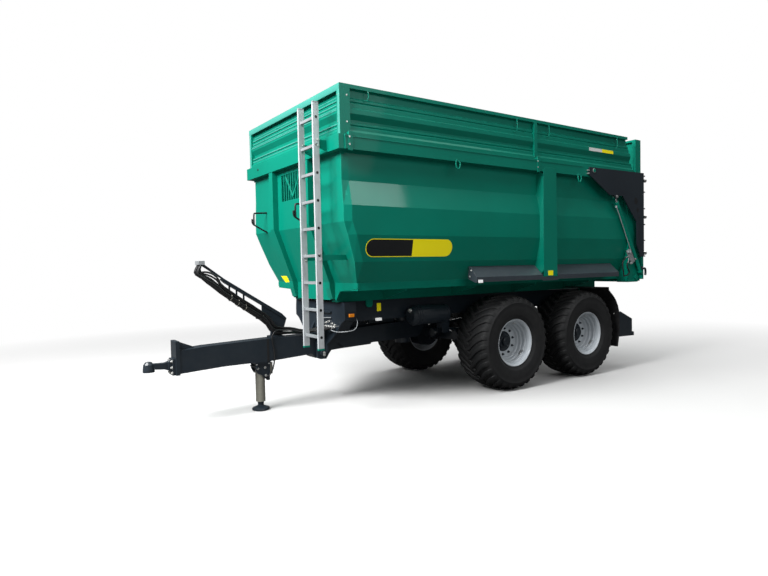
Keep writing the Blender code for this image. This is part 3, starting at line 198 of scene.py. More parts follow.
ALUMINIUM = metal("mill_aluminium", (0.560, 0.590, 0.610, 1), 0.52, (1, 1, 0.06), 0.30)
CHROME = metal("plated_rod", (0.620, 0.625, 0.630, 1), 0.16, (1, 1, 0.1), 1.0, 0.08)
ZINC = metal("zinc_plate", (0.330, 0.322, 0.270, 1), 0.46, (1, 1, 1), 0.55, 0.35)
ZINC_PALE = metal("zinc_cap", (0.330, 0.350, 0.365, 1), 0.50, (1, 1, 1), 0.30, 0.35)
# A darker copy of the mill aluminium for the rungs: painted shade against the strong light on their faces.
RUNG_SHADED = metal("rung_aluminium_shaded", (0.300, 0.320, 0.335, 1), 0.50, (1, 0.06, 1), 0.30)
BRIGHT = metal("zinc_fastener", (0.600, 0.600, 0.580, 1), 0.34, (1, 1, 1), 0.8, 0.20)


def rubber(name, base, dusty, rough, cover_scale=11.0):
    work = Nodes(name)
    cover = work.ramp(work.noise(cover_scale, 7.0, 0.7), 0.40, 0.78)
    colour = work.mix(work.math("MULTIPLY", cover, 0.55), base, dusty)
    roughness = work.ramp(work.noise(4.0), 0.3, 0.7, rough - 0.06, rough + 0.08)
    work.set(Base_Color=colour, Roughness=roughness, Specular_IOR_Level=0.35)
    work.bump(work.noise(180.0, 3.0), 0.15, 0.0008)
    return work.material


TYRE = rubber("tyre_rubber", (0.0065, 0.0070, 0.0078, 1), (0.019, 0.019, 0.019, 1), 0.66)
HOSE = rubber("hose_rubber", (0.009, 0.009, 0.010, 1), (0.022, 0.022, 0.022, 1), 0.46)
PLASTIC = rubber("black_plastic", (0.010, 0.010, 0.011, 1), (0.026, 0.026, 0.026, 1), 0.52)


def lens(name, colour, cells, glow=0.0):
    """Ribbed lamp glass over a pale reflector; where asked, the glass glows with painted light, though no lamp
    is lit.
    """
    work = Nodes(name)
    ribs = work.add("ShaderNodeTexVoronoi", {"Vector": work.coords, "Scale": cells}).outputs["Distance"]
    tone = work.mix(work.ramp(ribs, 0.0, 0.6), colour, [c * 0.55 for c in colour[:3]] + [1])
    work.set(Base_Color=tone, Roughness=0.16, Coat_Weight=1.0, Coat_Roughness=0.04)
    work.bump(ribs, 0.3, 0.001)
    # Painted glow: the unlit lamp glass and reflectors shine as if lit.
    if glow:
        work.set(Emission_Color=tone, Emission_Strength=glow)
    return work.material


RED_LENS = lens("red_lens", (0.520, 0.010, 0.008, 1), 160.0)
AMBER_LENS = lens("amber_lens", (0.900, 0.270, 0.004, 1), 160.0, 0.25)
CLEAR_LENS = lens("clear_lens", (0.900, 0.910, 0.910, 1), 160.0, 0.85)

BY_SLOT = {
    "green": GREEN,
    "anthracite": ANTHRACITE,
    "silver": SILVER,
    "aluminium": ALUMINIUM,
    "steel": CHROME,
    "zinc": ZINC,
    "tyre": TYRE,
    "plastic": PLASTIC,
}
SLOT_OF = {part["node"]: part["material_slot"] for part in frame["record"]["subparts"]}
for name, obj in frame["nodes"].items():
    material = HOSE if name == "supply_hoses" else ANTHRACITE_SKYLIT if name.startswith("skirt") else BY_SLOT[SLOT_OF[name]]
    for slot in obj.material_slots:
        slot.material = material


# Shapes

def place(axis, a, b, along):
    if axis == "X":
        return Vector((along, a, b))
    if axis == "Y":
        return Vector((a, along, b))
    return Vector((a, b, along))


class Form:
    """The faces of one piece, in metres from the middle of the tandem."""

    def __init__(self):
        self.verts = []
        self.faces = []

    def add(self, verts, faces):
        base = len(self.verts)
        self.verts += [Vector(v) for v in verts]
        self.faces += [[base + i for i in face] for face in faces]
        return self

    def rings(self, rings, ends=True):
        n = len(rings[0])
        faces = []
        for s in range(len(rings) - 1):
            faces += [
                (s * n + i, s * n + (i + 1) % n, (s + 1) * n + (i + 1) % n, (s + 1) * n + i)
                for i in range(n)
            ]
        if ends:
            faces += [tuple(range(n)), tuple(range((len(rings) - 1) * n, len(rings) * n))]
        return self.add([v for ring in rings for v in ring], faces)

    def prism(self, axis, outline, low, high):
        return self.rings([[place(axis, a, b, at) for a, b in outline] for at in (low, high)])

    def box(self, x0, x1, y0, y1, z0, z1):
        return self.prism("Z", [(x0, y0), (x1, y0), (x1, y1), (x0, y1)], z0, z1)

    def turned(self, axis, profile, centre, count, ends=True):
        rings = []
        for radius, height in profile:
            turns = [2 * math.pi * i / count for i in range(count)]
            ring = [place(axis, radius * math.cos(t), radius * math.sin(t), height) for t in turns]
            rings.append([spot + Vector(centre) for spot in ring])
        return self.rings(rings, ends)

    def bolt(self, axis, sign, at, radius, height):
        """A washer and a hexagon head, standing on a face."""
        for r, low, high, count in (
            (radius * 1.45, 0.0, height * 0.25, 16), (radius, height * 0.25, height, 6),
        ):
            self.turned(axis, [(r, sign * low), (r, sign * high * 0.92), (r * 0.9, sign * high)], at, count)
        return self

    def tube(self, points, radius, count=10, smooth=0):
        spots = [Vector(p) for p in points]
        for _ in range(smooth):
            cut = [spots[0]]
            for a, b in zip(spots, spots[1:]):
                cut += [a.lerp(b, 0.25), a.lerp(b, 0.75)]
            spots = cut + [spots[-1]]
        rings = []
        side = None
        for i, spot in enumerate(spots):
            way = (spots[min(i + 1, len(spots) - 1)] - spots[max(i - 1, 0)]).normalized()
            if side is None:
                side = way.orthogonal().normalized()
            side = (side - way * side.dot(way)).normalized()
            other = way.cross(side)
            turns = [2 * math.pi * k / count for k in range(count)]
            rings.append([spot + (side * math.cos(t) + other * math.sin(t)) * radius for t in turns])
        return self.rings(rings)

    def both(self):
        """The same again on the other side of the middle plane."""
        return self.add([(v.x, -v.y, v.z) for v in self.verts], [list(reversed(f)) for f in self.faces])

    def on_side(self, side):
        """Moves a form drawn on the left over to the right where side is -1."""
        if side < 0:
            self.verts = [Vector((v.x, -v.y, v.z)) for v in self.verts]
        return self

    def make(self, name, body, slot, material, smooth=35, bevel=0.0, replaces=()):
        mesh = bpy.data.meshes.new(name)
        mesh.from_pydata([(v.x - MID_X, v.y, v.z) for v in self.verts], [], self.faces)
        work = bmesh.new()
        work.from_mesh(mesh)
        bmesh.ops.recalc_face_normals(work, faces=work.faces)
        work.to_mesh(mesh)
        work.free()
        mesh.shade_smooth()
        mesh.set_sharp_from_angle(angle=math.radians(smooth))
        obj = bpy.data.objects.new(name, mesh)
        bpy.context.scene.collection.objects.link(obj)
        obj.data.materials.append(material)
        if bevel:
            step = obj.modifiers.new("edge", "BEVEL")
            step.width = bevel
            step.segments = 2
            step.limit_method = "ANGLE"
        if replaces:
            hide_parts(*replaces)
        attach(obj, body)
        return obj


# Wheels: tyres with curved lugs, stepped rims, hubs and nuts

SIDES = (("left", 1), ("right", -1))
AXLE_X = {"front": 0.726, "rear": -0.726}
HUB_Z = 0.605
TYRE_R = 0.605
TYRE_HALF = 0.2725
TYRE_MID = 0.933
LUGS = 32
LUG_DEEP = 0.021
LUG_SUNK = 0.010
GROOVE_SHARE = 0.8
GROOVE_HALF = 0.985
# Outer surface from the middle of the tread round the shoulder, as pairs:
# distance below the full radius, and share of the half width
CROWN = [
    (0.0, 0.0), (0.0, 0.15), (0.001, 0.32), (0.004, 0.48), (0.009, 0.62), (0.016, 0.75), (0.027, 0.86),
    (0.045, 0.925), (0.068, 0.965),
]


def tyre(name, x, side):
    """A tyre's casing with two rows of curved lugs, half a pitch apart."""
    form = Form()
    half = TYRE_HALF
    crease_shade = [
        (TYRE_R - LUG_DEEP - drop * GROOVE_SHARE, share * half * GROOVE_HALF)
        for drop, share in CROWN
    ]
    wall = [
        (TYRE_R - 0.092, half * 0.985),
        (TYRE_R - 0.098, half * 0.999),
        (TYRE_R - 0.104, half * 0.988),
        (TYRE_R - 0.150, half * 0.995),
        (TYRE_R - 0.200, half * 0.985),
        (0.372, half * 0.960),
        (0.352, half * 0.955),
        (0.345, half * 0.945),
        (0.330, half * 0.900),
        (0.314, half * 0.868),
        (0.303, half * 0.852),
        (0.296, half * 0.780),
        (0.286, half * 0.740),
    ]
    line = [(r, -w) for r, w in reversed(crease_shade[1:] + wall)] + crease_shade + wall
    form.turned("Y", [(r, w * side) for r, w in line], (x, side * TYRE_MID, HUB_Z), 128, ends=False)
    for row in (1, -1):
        for k in range(LUGS):
            start = 2 * math.pi * (k + (0.5 if row < 0 else 0.0)) / LUGS
            rings = []
            for i, (drop, share) in enumerate(CROWN):
                last = i == len(CROWN) - 1
                lead = 0.30 * (1.0 - min(1.0, share / 0.9)) ** 1.5
                width = 0.030 + 0.012 * min(1.0, share * 1.3)
                if last:
                    width *= 0.8
                inset = -0.030 if i == 0 else 0.0
                w = (share * half + inset) * row
                top = TYRE_R - drop - (0.012 if last else 0.0)
                foot = TYRE_R - LUG_DEEP - drop * GROOVE_SHARE - LUG_SUNK
                ring = []
                for reach, radius in (
                    (-0.95, foot), (-0.68, top - 0.002), (-0.55, top), (0.55, top), (0.68, top - 0.002),
                    (0.95, foot),
                ):
                    # the lugs lean, so that their ends at the middle meet the ground first
                    a = start - lead + reach * width / TYRE_R
                    shrink = 1.0 if radius > foot + 0.001 else GROOVE_HALF
                    y = side * TYRE_MID + w * shrink
                    ring.append(Vector((x + radius * math.cos(a), y, HUB_Z + radius * math.sin(a))))
                rings.append(ring)
            form.rings(rings)
    form.make("flotation_" + name, name.replace("tyre", "wheel"), "tyre", TYRE, 42, replaces=(name,))


RIM_LINE = [
    (0.132, 0.010),
    (0.132, 0.020),
    (0.194, 0.020),
    (0.206, 0.026),
    (0.214, 0.040),
    (0.217, 0.052),
    (0.222, 0.058),
    (0.229, 0.062),
    (0.232, 0.070),
    (0.233, 0.098),
    (0.238, 0.105),
    (0.246, 0.109),
    (0.249, 0.117),
    (0.250, 0.150),
    (0.255, 0.158),
    (0.264, 0.163),
    (0.267, 0.172),
    (0.269, 0.203),
    (0.273, 0.213),
    (0.280, 0.219),
    (0.286, 0.224),
    (0.288, 0.231),
    (0.293, 0.236),
    (0.299, 0.235),
    (0.3025, 0.229),
    (0.3025, 0.224),
    (0.296, 0.221),
    (0.286, 0.196),
    (0.270, 0.160),
    (0.262, 0.060),
    (0.262, -0.120),
    (0.286, -0.200),
    (0.296, -0.222),
    (0.2955, -0.229),
    (0.288, -0.228),
    (0.276, -0.205),
    (0.252, -0.120),
    (0.226, 0.000),
    (0.132, 0.000),
]


CAP_SCREWS, CAP_CIRCLE = 8, 0.076
WHEEL_NUTS, NUT_CIRCLE = 10, 0.1675
WEIGHT_SEAT = 0.2490


def on_wheel(x, side, turn, radius, across):
    """A point at a radius and turn about a wheel's axis, so far out from the tyre's middle."""
    return Vector((x + radius * math.cos(turn), side * (TYRE_MID + across), HUB_Z + radius * math.sin(turn)))


def wheel(name, x, side):
    """A stepped rim with its hub, nuts, valve and balance weights."""
    form = Form()
    centre = (x, side * TYRE_MID, HUB_Z)
    line = [(r, side * w) for r, w in RIM_LINE + RIM_LINE[:1]]
    form.turned("Y", line, centre, 96, ends=False)
    form.make("disc_" + name, name.replace("rim", "wheel"), "silver", SILVER, 30, replaces=(name,))
    hub = Form()
    hub_line = [
        (0.0, 0.088),
        (0.050, 0.088),
        (0.058, 0.082),
        (0.060, 0.052),
        (0.086, 0.050),
        (0.092, 0.044),
        (0.094, 0.020),
        (0.128, 0.018),
        (0.131, 0.012),
        (0.131, 0.001),
        (0.0, 0.001),
    ]
    hub.turned("Y", [(r, side * w) for r, w in hub_line], centre, 48, ends=False)
    for k in range(CAP_SCREWS):
        turn = 2 * math.pi * (k + 0.5) / CAP_SCREWS
        hub.bolt("Y", side, on_wheel(x, side, turn, CAP_CIRCLE, 0.050), 0.007, 0.008)
    for k in range(WHEEL_NUTS):
        at = on_wheel(x, side, 2 * math.pi * (k + 0.65) / WHEEL_NUTS, NUT_CIRCLE, 0.020)
        hub.bolt("Y", side, at, 0.0115, 0.018)
        hub.turned("Y", [(0.007, 0.0), (0.007, side * 0.028), (0.005, side * 0.030)], at, 12)
    hub.make("hub_" + name.replace("rim_", ""), name.replace("rim", "wheel"), "anthracite", ANTHRACITE, 35)
    valve = Form()
    for turn, low, high in ((-2.58, 0.120, 0.180), (-2.50, 0.118, 0.150)):
        spot = on_wheel(x, side, turn, 0.2435, low)
        tip = on_wheel(x, side, turn, 0.238, high)
        valve.tube([spot, spot.lerp(tip, 0.5), tip], 0.0055, 10)
    for turn in (-2.40, 1.9):
        rings = []
        for across in (0.126, 0.129, 0.143, 0.146):
            thick = 0.004 if across in (0.126, 0.146) else 0.009
            corners = ((-0.055, 0.0), (0.055, 0.0), (0.050, thick), (-0.050, thick))
            rings.append([on_wheel(x, side, turn + a, WEIGHT_SEAT - inward, across) for a, inward in corners])
        valve.rings(rings)
    valve.make("valve_" + name.replace("rim_", ""), name.replace("rim", "wheel"), "steel", BRIGHT, 40)


for end, x in AXLE_X.items():
    for side_name, side in SIDES:
        tyre("tyre_%s_%s" % (end, side_name), x, side)
        wheel("rim_%s_%s" % (end, side_name), x, side)


# Running gear: spring clamps, brake cylinders and their rods

SPRING_Y = 0.46
gear = Form()
for x in AXLE_X.values():
    for side in (1, -1):
        mid = side * SPRING_Y
        for dx in (-0.046, 0.046):
            for dy in (-0.063, 0.063):
                at = (x + dx, mid + dy, 0.0)
                gear.turned("Z", [(0.008, 0.500), (0.008, 0.822)], at, 10)
                gear.turned("Z", [(0.016, 0.800), (0.016, 0.815)], at, 6)
            gear.tube([(x + dx, mid - 0.063, 0.505), (x + dx, mid + 0.063, 0.505)], 0.008, 10)
        gear.turned(
            "X", [(0.045, 0.10), (0.078, 0.115), (0.082, 0.16), (0.082, 0.20), (0.060, 0.225)],
            (x, side * 0.250, 0.640), 24,
        )
        gear.tube([(x + 0.10, side * 0.250, 0.640), (x + 0.02, side * 0.262, 0.690)], 0.010, 8)
        gear.box(x - 0.010, x + 0.030, side * 0.27 - 0.012, side * 0.27 + 0.012, 0.60, 0.715)
gear.make("spring_clamps_and_brakes", "chassis", "anthracite", ANTHRACITE, 35)


# Frame: markers, lamps, brake pipe

FRAME_Y = 0.5115
TUB_Y = 1.2503


def plate_on_side(form, x0, x1, y, z0, z1, thick=0.003):
    """A flat plate whose back lies at y."""
    form.box(x0, x1, min(y, y + thick), max(y, y + thick), z0, z1)


markers = Form()
plate_on_side(markers, 2.326, 2.383, FRAME_Y, 1.074, 1.170)
markers.both().make("rail_markers", "chassis", "plastic", YELLOW, bevel=0.001)
lamps = Form()
lamps.box(2.774, 2.842, 0.630, 0.646, 1.038, 1.075)
lamps.both().make("side_lamps_amber", "chassis", "plastic", AMBER_LENS, bevel=0.004)
lamps = Form()
lamps.box(2.336, 2.411, FRAME_Y, 0.548, 0.962, 0.996)
lamps.both().make("position_lamps", "chassis", "plastic", CLEAR_LENS, bevel=0.006)

pipe = Form()
pipe.tube(
    [
        (2.915, 0.300, 0.895), (2.935, 0.420, 0.870), (2.915, 0.560, 0.868), (2.840, 0.642, 0.880),
        (2.775, 0.645, 0.890), (2.742, 0.643, 0.930), (2.730, 0.641, 0.975), (2.725, 0.600, 1.020),
    ],
    0.0050, 10, smooth=2,
)
pipe.tube([(2.905, 0.090, 1.002), (2.915, 0.200, 1.014), (2.905, 0.330, 1.022)], 0.0050, 10, smooth=1)
pipe.make("brake_pipe", "chassis", "steel", ZINC_PALE, 60)

couplers = Form()
for k in range(4):
    y = 0.200 + 0.065 * k
    couplers.turned(
        "X", [(0.017, 2.8906), (0.017, 2.910), (0.0145, 2.912), (0.0145, 2.935), (0.0125, 2.938)],
        (0, y, 0.912), 12,
    )
for y, z in ((0.190, 0.955), (0.255, 0.972), (0.335, 0.950), (0.395, 0.935)):
    couplers.bolt("X", 1, (2.8905, y, z), 0.011, 0.020)
couplers.make("line_couplings", "chassis", "steel", BRIGHT, 35)

TANK_AT = (0.640, 1.000)
tank = Form()
for x in (1.470, 1.868, 1.902, 1.936):
    tank.turned(
        "X", [(0.1185, x - 0.012), (0.1225, x - 0.010), (0.1225, x + 0.010), (0.1185, x + 0.012)],
        (0, *TANK_AT), 40,
    )
tank.make("tank_bands", "chassis", "anthracite", ANTHRACITE, 35)
tank = Form()
tank.turned("X", [(0.026, 1.990), (0.026, 2.004), (0.018, 2.008), (0.018, 2.020)], (0, 0.655, 1.064), 20)
tank.bolt("Z", -1, (1.700, 0.640, 0.8825), 0.012, 0.012)
tank.make("tank_fittings", "chassis", "steel", BRIGHT, 35)

# Rear part of the drawbar: two cheeks that pass the tipping cylinder, joined ahead of it
tail_line = [
    (2.900, 0.812),
    (2.510, 0.849),
    (1.750, 0.883),
    (1.480, 0.893),
    (1.400, 0.830),
    (1.385, 0.775),
    (1.425, 0.720),
    (1.492, 0.662),
    (2.215, 0.648),
    (2.300, 0.640),
    (2.620, 0.632),
]
tail = Form()
for side in (1, -1):
    tail.prism("Y", tail_line, side * 0.1065, side * 0.1200)
    tail.box(2.000, 2.300, *sorted((side * 0.0900, side * 0.1070)), 0.660, 0.815)
tail.prism(
    "Y", [(2.300, 0.640), (2.300, 0.820), (2.070, 0.845), (1.990, 0.780), (1.990, 0.700), (2.070, 0.652)],
    -0.0905, 0.0905,
)
tail.make("drawbar_cheeks", "chassis", "anthracite", ANTHRACITE, bevel=0.004)
leaves = Form()
for k in range(4):
    leaves.box(2.180 + 0.050 * k, 2.860, -0.040, 0.040, 0.8560 + 0.0215 * k, 0.8765 + 0.0215 * k)
for x in (2.430, 2.790):
    leaves.box(x - 0.035, x + 0.035, -0.052, 0.052, 0.850, 0.962)
leaves.box(2.230, 2.862, -0.046, 0.046, 0.942, 0.970)
leaves.box(1.850, 2.232, -0.088, 0.088, 0.886, 0.972)
leaves.make("drawbar_leaf_pack", "chassis", "anthracite", ANTHRACITE, bevel=0.003)

bolts = Form()
for side in (1, -1):
    for z in (0.575, 0.552):
        bolts.bolt("Y", side, (2.925, side * 0.185, z + 0.02), 0.012, 0.012)
    for x, z in ((3.466, 0.897), (3.406, 0.904)):
        bolts.bolt("Y", side, (x, side * 0.016, z), 0.013, 0.014)
    for x, z in ((3.705, 0.482), (3.620, 0.486), (3.612, 0.395)):
        bolts.bolt("Y", side, (x, side * 0.066, z), 0.010, 0.012)
    for x in (3.575, 3.720):
        bolts.turned("Z", [(0.012, 0.5250), (0.012, 0.5375)], (x, side * 0.074, 0), 6)
    bolts.bolt("Y", side, (-1.301, side * 1.2003, 0.850), 0.007, 0.006)
bolts.make("frame_bolts", "chassis", "steel", BRIGHT, 35)

# Drawbar plate: the column of holes, drawn as thin black discs of painted shade, and the coupling's bolts
hole_shade = Form()
for z in (0.842, 0.797, 0.752, 0.707):
    for y in (-0.055, 0.055):
        hole_shade.turned("X", [(0.0130, 4.5935), (0.0130, 4.5945), (0.0105, 4.5946)], (0, y, z), 20)
hole_shade.make("plate_hole_shade", "chassis", "plastic", BLACK, 35)
flange = Form()
for z in (0.545, 0.600, 0.665):
    for y in (-0.060, 0.060):
        flange.bolt("X", 1, (4.624, y, z), 0.012, 0.016)
flange.make("coupling_bolts", "chassis", "steel", BRIGHT, 35)

line = Form()
line.tube(
    [
        (3.528, 0.105, 0.862), (3.545, 0.101, 0.830), (3.536, 0.101, 0.760), (3.519, 0.101, 0.680),
        (3.517, 0.101, 0.600), (3.524, 0.102, 0.530), (3.545, 0.104, 0.460), (3.578, 0.100, 0.405),
        (3.606, 0.084, 0.380), (3.612, 0.0665, 0.372),
    ],
    0.0085, 10, smooth=2,
)
line.tube(
    [(3.528, 0.105, 0.862), (3.500, 0.098, 0.892), (3.470, 0.080, 0.893), (3.440, 0.062, 0.880)], 0.0085,
    10, smooth=2,
)
line.box(3.578, 3.600, 0.0903, 0.0935, 0.5575, 0.8135)
line.make("jack_hose", "chassis", "plastic", HOSE, 50)

cap = Form()
cap.box(4.2565, 4.3235, -0.0635, 0.0635, 1.6585, 1.7015)
cap.make("hose_couplings", "chassis", "steel", ZINC_PALE, 35, bevel=0.002)

# Supply lines beside the modelled ones: they leave the cap, droop, then lie on the rack's bar
LINE_LOW = [
    (4.300, 1.652), (4.322, 1.610), (4.335, 1.560), (4.290, 1.520), (4.235, 1.478), (4.180, 1.436),
    (4.105, 1.384), (4.060, 1.350),
]
LINE_LOW += [
    (3.937, 1.262), (3.825, 1.184), (3.712, 1.110), (3.630, 1.060), (3.561, 0.998), (3.539, 0.935),
    (3.500, 0.895), (3.400, 0.885),
]
LINE_HIGH = [
    (4.300, 1.652), (4.322, 1.615), (4.338, 1.572), (4.295, 1.583), (4.242, 1.588), (4.178, 1.570),
    (4.126, 1.526), (4.088, 1.440),
]
LINE_HIGH += [
    (3.956, 1.346), (3.879, 1.287), (3.766, 1.215), (3.675, 1.148), (3.581, 1.092), (3.512, 1.018),
    (3.480, 0.950), (3.400, 0.925),
]
more = Form()
for y, share in (
    (0.031, 0.42), (0.056, 0.95), (0.048, 0.70), (0.066, 0.20), (-0.031, 0.42), (-0.056, 0.60),
    (-0.044, 0.20),
):
    route = [
        (a[0] + (b[0] - a[0]) * share, y, a[1] + (b[1] - a[1]) * share)
        for a, b in zip(LINE_LOW, LINE_HIGH)
    ]
    rise = 0.030 * share
    route += [
        (3.283, y + 0.020, 0.884 + rise), (3.183, y + 0.060, 0.852 + rise), (3.020, y + 0.120, 0.868),
        (2.925, y + 0.150, 0.906), (2.893, y + 0.150, 0.912),
    ]
    more.tube(route, 0.0105, 8, smooth=1)
more.make("supply_line_bundle", "chassis", "plastic", HOSE, 60)

clips = Form()
for x, z in ((3.820, 1.180), (3.900, 1.238), (3.980, 1.297)):
    for side in (1, -1):
        clips.tube(
            [
                (x, side * 0.006, z + 0.050), (x - 0.01, side * 0.070, z + 0.020),
                (x, side * 0.071, z - 0.020), (x, side * 0.006, z - 0.034),
            ],
            0.004, 8, smooth=2,
        )
for x, z in ((3.620, 1.110), (3.590, 1.085)):
    clips.tube(
        [
            (x, 0.017, z), (x + 0.01, 0.050, z + 0.030), (x + 0.02, 0.052, z - 0.010),
            (x + 0.03, 0.020, z - 0.040),
        ],
        0.004, 8, smooth=2,
    )
clips.make("hose_clips", "chassis", "steel", ZINC, 60)


# Front wall: winding brackets and marker; boards: hooks, bolted plates, beads

rods = Form()
for y in (-0.790, 0.420):
    rods.tube(
        [
            (3.189, y, 2.318), (3.352, y, 2.310), (3.362, y, 2.300), (3.362, y, 2.170), (3.355, y, 2.155),
            (3.189, y, 2.070),
        ],
        0.0105, 10, smooth=1,
    )
    rods.tube([(3.385, y, 2.235), (3.385, y, 2.185), (3.362, y, 2.160)], 0.0105, 10, smooth=1)
rods.make("winding_brackets", "tub", "plastic", HOSE, 60)

film = Form()
film.add(
    [(2.9812, -0.862, 1.505), (2.9812, -0.700, 1.505), (2.9484, -0.620, 1.415), (2.9484, -0.782, 1.415)]
    + [(2.9830, -0.862, 1.504), (2.9830, -0.700, 1.504), (2.9502, -0.620, 1.414), (2.9502, -0.782, 1.414)],
    [(0, 1, 2, 3), (4, 5, 6, 7), (0, 1, 5, 4), (1, 2, 6, 5), (2, 3, 7, 6), (3, 0, 4, 7)],
)
film.make("front_marker", "tub", "plastic", YELLOW)

hooks = Form()
for x, low in ((2.889, 3.313), (0.700, 3.258), (0.102, 3.262), (-1.381, 3.262)):
    hooks.tube(
        [
            (x, 1.203, 3.405), (x, 1.214, 3.392), (x, 1.216, low + 0.020), (x + 0.004, 1.212, low),
            (x + 0.022, 1.204, low - 0.014), (x + 0.040, 1.193, low - 0.008),
        ],
        0.0045, 8, smooth=1,
    )
for x in (1.722, -0.457):
    loop = [
        (0.008, 1.246, 2.804), (-0.034, 1.262, 2.770), (-0.020, 1.265, 2.712), (0.012, 1.263, 2.688),
        (0.034, 1.259, 2.735), (0.026, 1.252, 2.784), (0.010, 1.245, 2.806),
    ]
    hooks.tube([(x + dx, y, z) for dx, y, z in loop], 0.0085, 10, smooth=2)
hooks.both().make("rope_hooks", "tub", "green", GREEN, 60)

stakes = Form()
for x in (3.135, 0.358):
    stakes.box(x - 0.024, x + 0.024, TUB_Y, 1.2580, 2.770, 2.960)
    stakes.box(x - 0.020, x + 0.020, 1.2075, 1.2504, 2.932, 2.956)
stakes.both().make("board_plates", "tub", "green", GREEN, bevel=0.0015)
heads = Form()
for x in (3.150, 0.374):
    for z in (2.903, 2.828):
        heads.bolt("Y", 1, (x, 1.2580, z), 0.0065, 0.0070)
for z in (3.328, 3.063):
    heads.bolt("X", 1, (3.2265, 1.165, z), 0.0055, 0.0060)
    heads.bolt("Y", 1, (3.145, 1.2075, z), 0.0060, 0.0060)
heads.both()
heads.make("board_bolts", "tub", "steel", BRIGHT, 35)
heads = Form()
for y in (-0.851, 0.851):
    heads.bolt("X", 1, (3.263, y, 2.870), 0.0100, 0.0080)
heads.make("chord_bolts", "tub", "steel", PLASTIC, 35)

# Rolled beads and the round rail of the upper boards
beads = Form()
for z, out, radius in (
    (3.318, -0.030, 0.007), (3.283, -0.020, 0.008), (3.237, -0.015, 0.008), (3.200, -0.003, 0.006),
    (3.184, -0.002, 0.008), (3.047, -0.016, 0.009), (3.009, -0.016, 0.008), (2.975, -0.016, 0.009),
):
    beads.tube([(3.217 + out, -1.140, z), (3.217 + out, 1.140, z)], radius, 8)
rail = [
    (3.2270, 3.372), (3.2300, 3.380), (3.2300, 3.428), (3.2270, 3.437), (3.2200, 3.437), (3.2200, 3.372),
]
beads.rings([[(x, y, z) for x, z in rail] for y in (-1.205, 1.205)])
for y in (-1.180, 1.180):
    outline = [(3.2268, y - 0.022), (3.2290, y - 0.018), (3.2290, y + 0.018), (3.2268, y + 0.022)]
    beads.prism("Z", outline, 2.940, 3.430)
# The beads, rail and post strips take the paler green, a painted sky reflection.
beads.make("front_board_beads", "tub", "green", GREEN_BEAD_SHEEN, 40)
beads = Form()
beads.box(-0.540, 3.205, 1.2490, 1.2565, 2.907, 2.916)
beads.both().make("chord_beads", "tub", "green", GREEN, bevel=0.001)
cover = Form()
cover.prism(
    "Y", [(0.012, 1.434), (0.018, 2.800), (0.060, 2.842), (0.230, 2.842), (0.272, 2.800), (0.278, 1.434)],
    TUB_Y, 1.2540,
)
cover.both().make("post_cover_plates", "tub", "green", GREEN, bevel=0.0015)
strip = Form()
strip.box(-0.0048, 0.2948, 1.2432, 1.2500, 1.380, 1.432)
strip.both().make("skirt_joining_strips", "tub", "anthracite", ANTHRACITE_SKYLIT, bevel=0.001)


# Blank sign on each side and a small one on the upper board

def skin_y(z):
    """Outer face of the tub's side between 1.655 and 2.070 m up."""
    return 1.205 if z > 1.935 else 1.205 - (1.935 - z) / 0.280 * 0.060


def pill(x_mid, z_mid, half_long, half_high, lift, cut=None, part=0):
    """A rounded sign following the side's face; part picks the front or rear share at the cut."""
    outline = []
    steps = 14
    for end in (1, -1):
        for k in range(steps + 1):
            turn = math.pi / 2 * end - math.pi * k / steps
            x = x_mid + end * (half_long - half_high) + half_high * math.cos(turn)
            outline.append((x, z_mid + half_high * math.sin(turn)))
    if part > 0:
        outline = [(max(x, cut), z) for x, z in outline]
    if part < 0:
        outline = [(min(x, cut), z) for x, z in outline]
    clean = []
    for spot in outline:
        if not clean or (abs(spot[0] - clean[-1][0]) + abs(spot[1] - clean[-1][1])) > 1e-6:
            clean.append(spot)
    return [Vector((x, skin_y(z) + lift, z)) for x, z in clean]


SIGN_AT = (2.352, 1.800)
SIGN_CUT = 2.335
for side_name, side in SIDES:
    for label, half_long, half_high, lifts, part, look in (
        ("rim", 0.588, 0.096, (0.0004, 0.0020), 0, YELLOW),
        ("front", 0.580, 0.088, (0.0016, 0.0028), 1, BLACK),
        ("rear", 0.580, 0.088, (0.0016, 0.0028), -1, YELLOW),
    ):
        form = Form()
        rings = [pill(*SIGN_AT, half_long, half_high, lift, SIGN_CUT, part) for lift in lifts]
        for ring in rings:
            for v in ring:
                v.y *= side
        form.rings(rings)
        form.make("side_sign_%s_%s" % (label, side_name), "tub", "plastic", look, 35)
    for label, x0, x1, look in (("front", -1.036, -0.745, WHITE), ("rear", -1.300, -1.037, YELLOW)):
        form = Form()
        low, high = sorted((side * 1.2003, side * 1.2022))
        form.box(x0, x1, low, high, 3.158, 3.2035)
        form.make("board_sign_%s_%s" % (label, side_name), "tub", "plastic", look, 35)

gusset = Form()
gusset.prism(
    "X",
    [
        (1.130, 1.580), (1.150, 1.575), (1.252, 1.458), (1.252, 1.394), (1.236, 1.388), (1.112, 1.430),
        (1.100, 1.470),
    ],
    1.4503, 1.4563,
)
gusset.both().make("skirt_gussets", "tub", "anthracite", ANTHRACITE_SKYLIT, bevel=0.001)
gusset = Form()
for y, z in ((1.160, 1.535), (1.135, 1.462)):
    gusset.bolt("X", 1, (1.4563, y, z), 0.0085, 0.0080)
gusset.both().make("skirt_gusset_bolts", "tub", "steel", BRIGHT, 35)
marks = Form()
plate_on_side(marks, 0.100, 0.195, 1.2542, 1.445, 1.5080, 0.0018)
marks.both().make("post_markers", "tub", "plastic", YELLOW)
marks = Form()
plate_on_side(marks, 1.357, 1.430, TUB_Y, 1.387, 1.423, 0.006)
marks.both().make("skirt_reflectors", "tub", "plastic", CLEAR_LENS, bevel=0.002)


# Ladder: rungs, their ends, end caps, feet and bolts

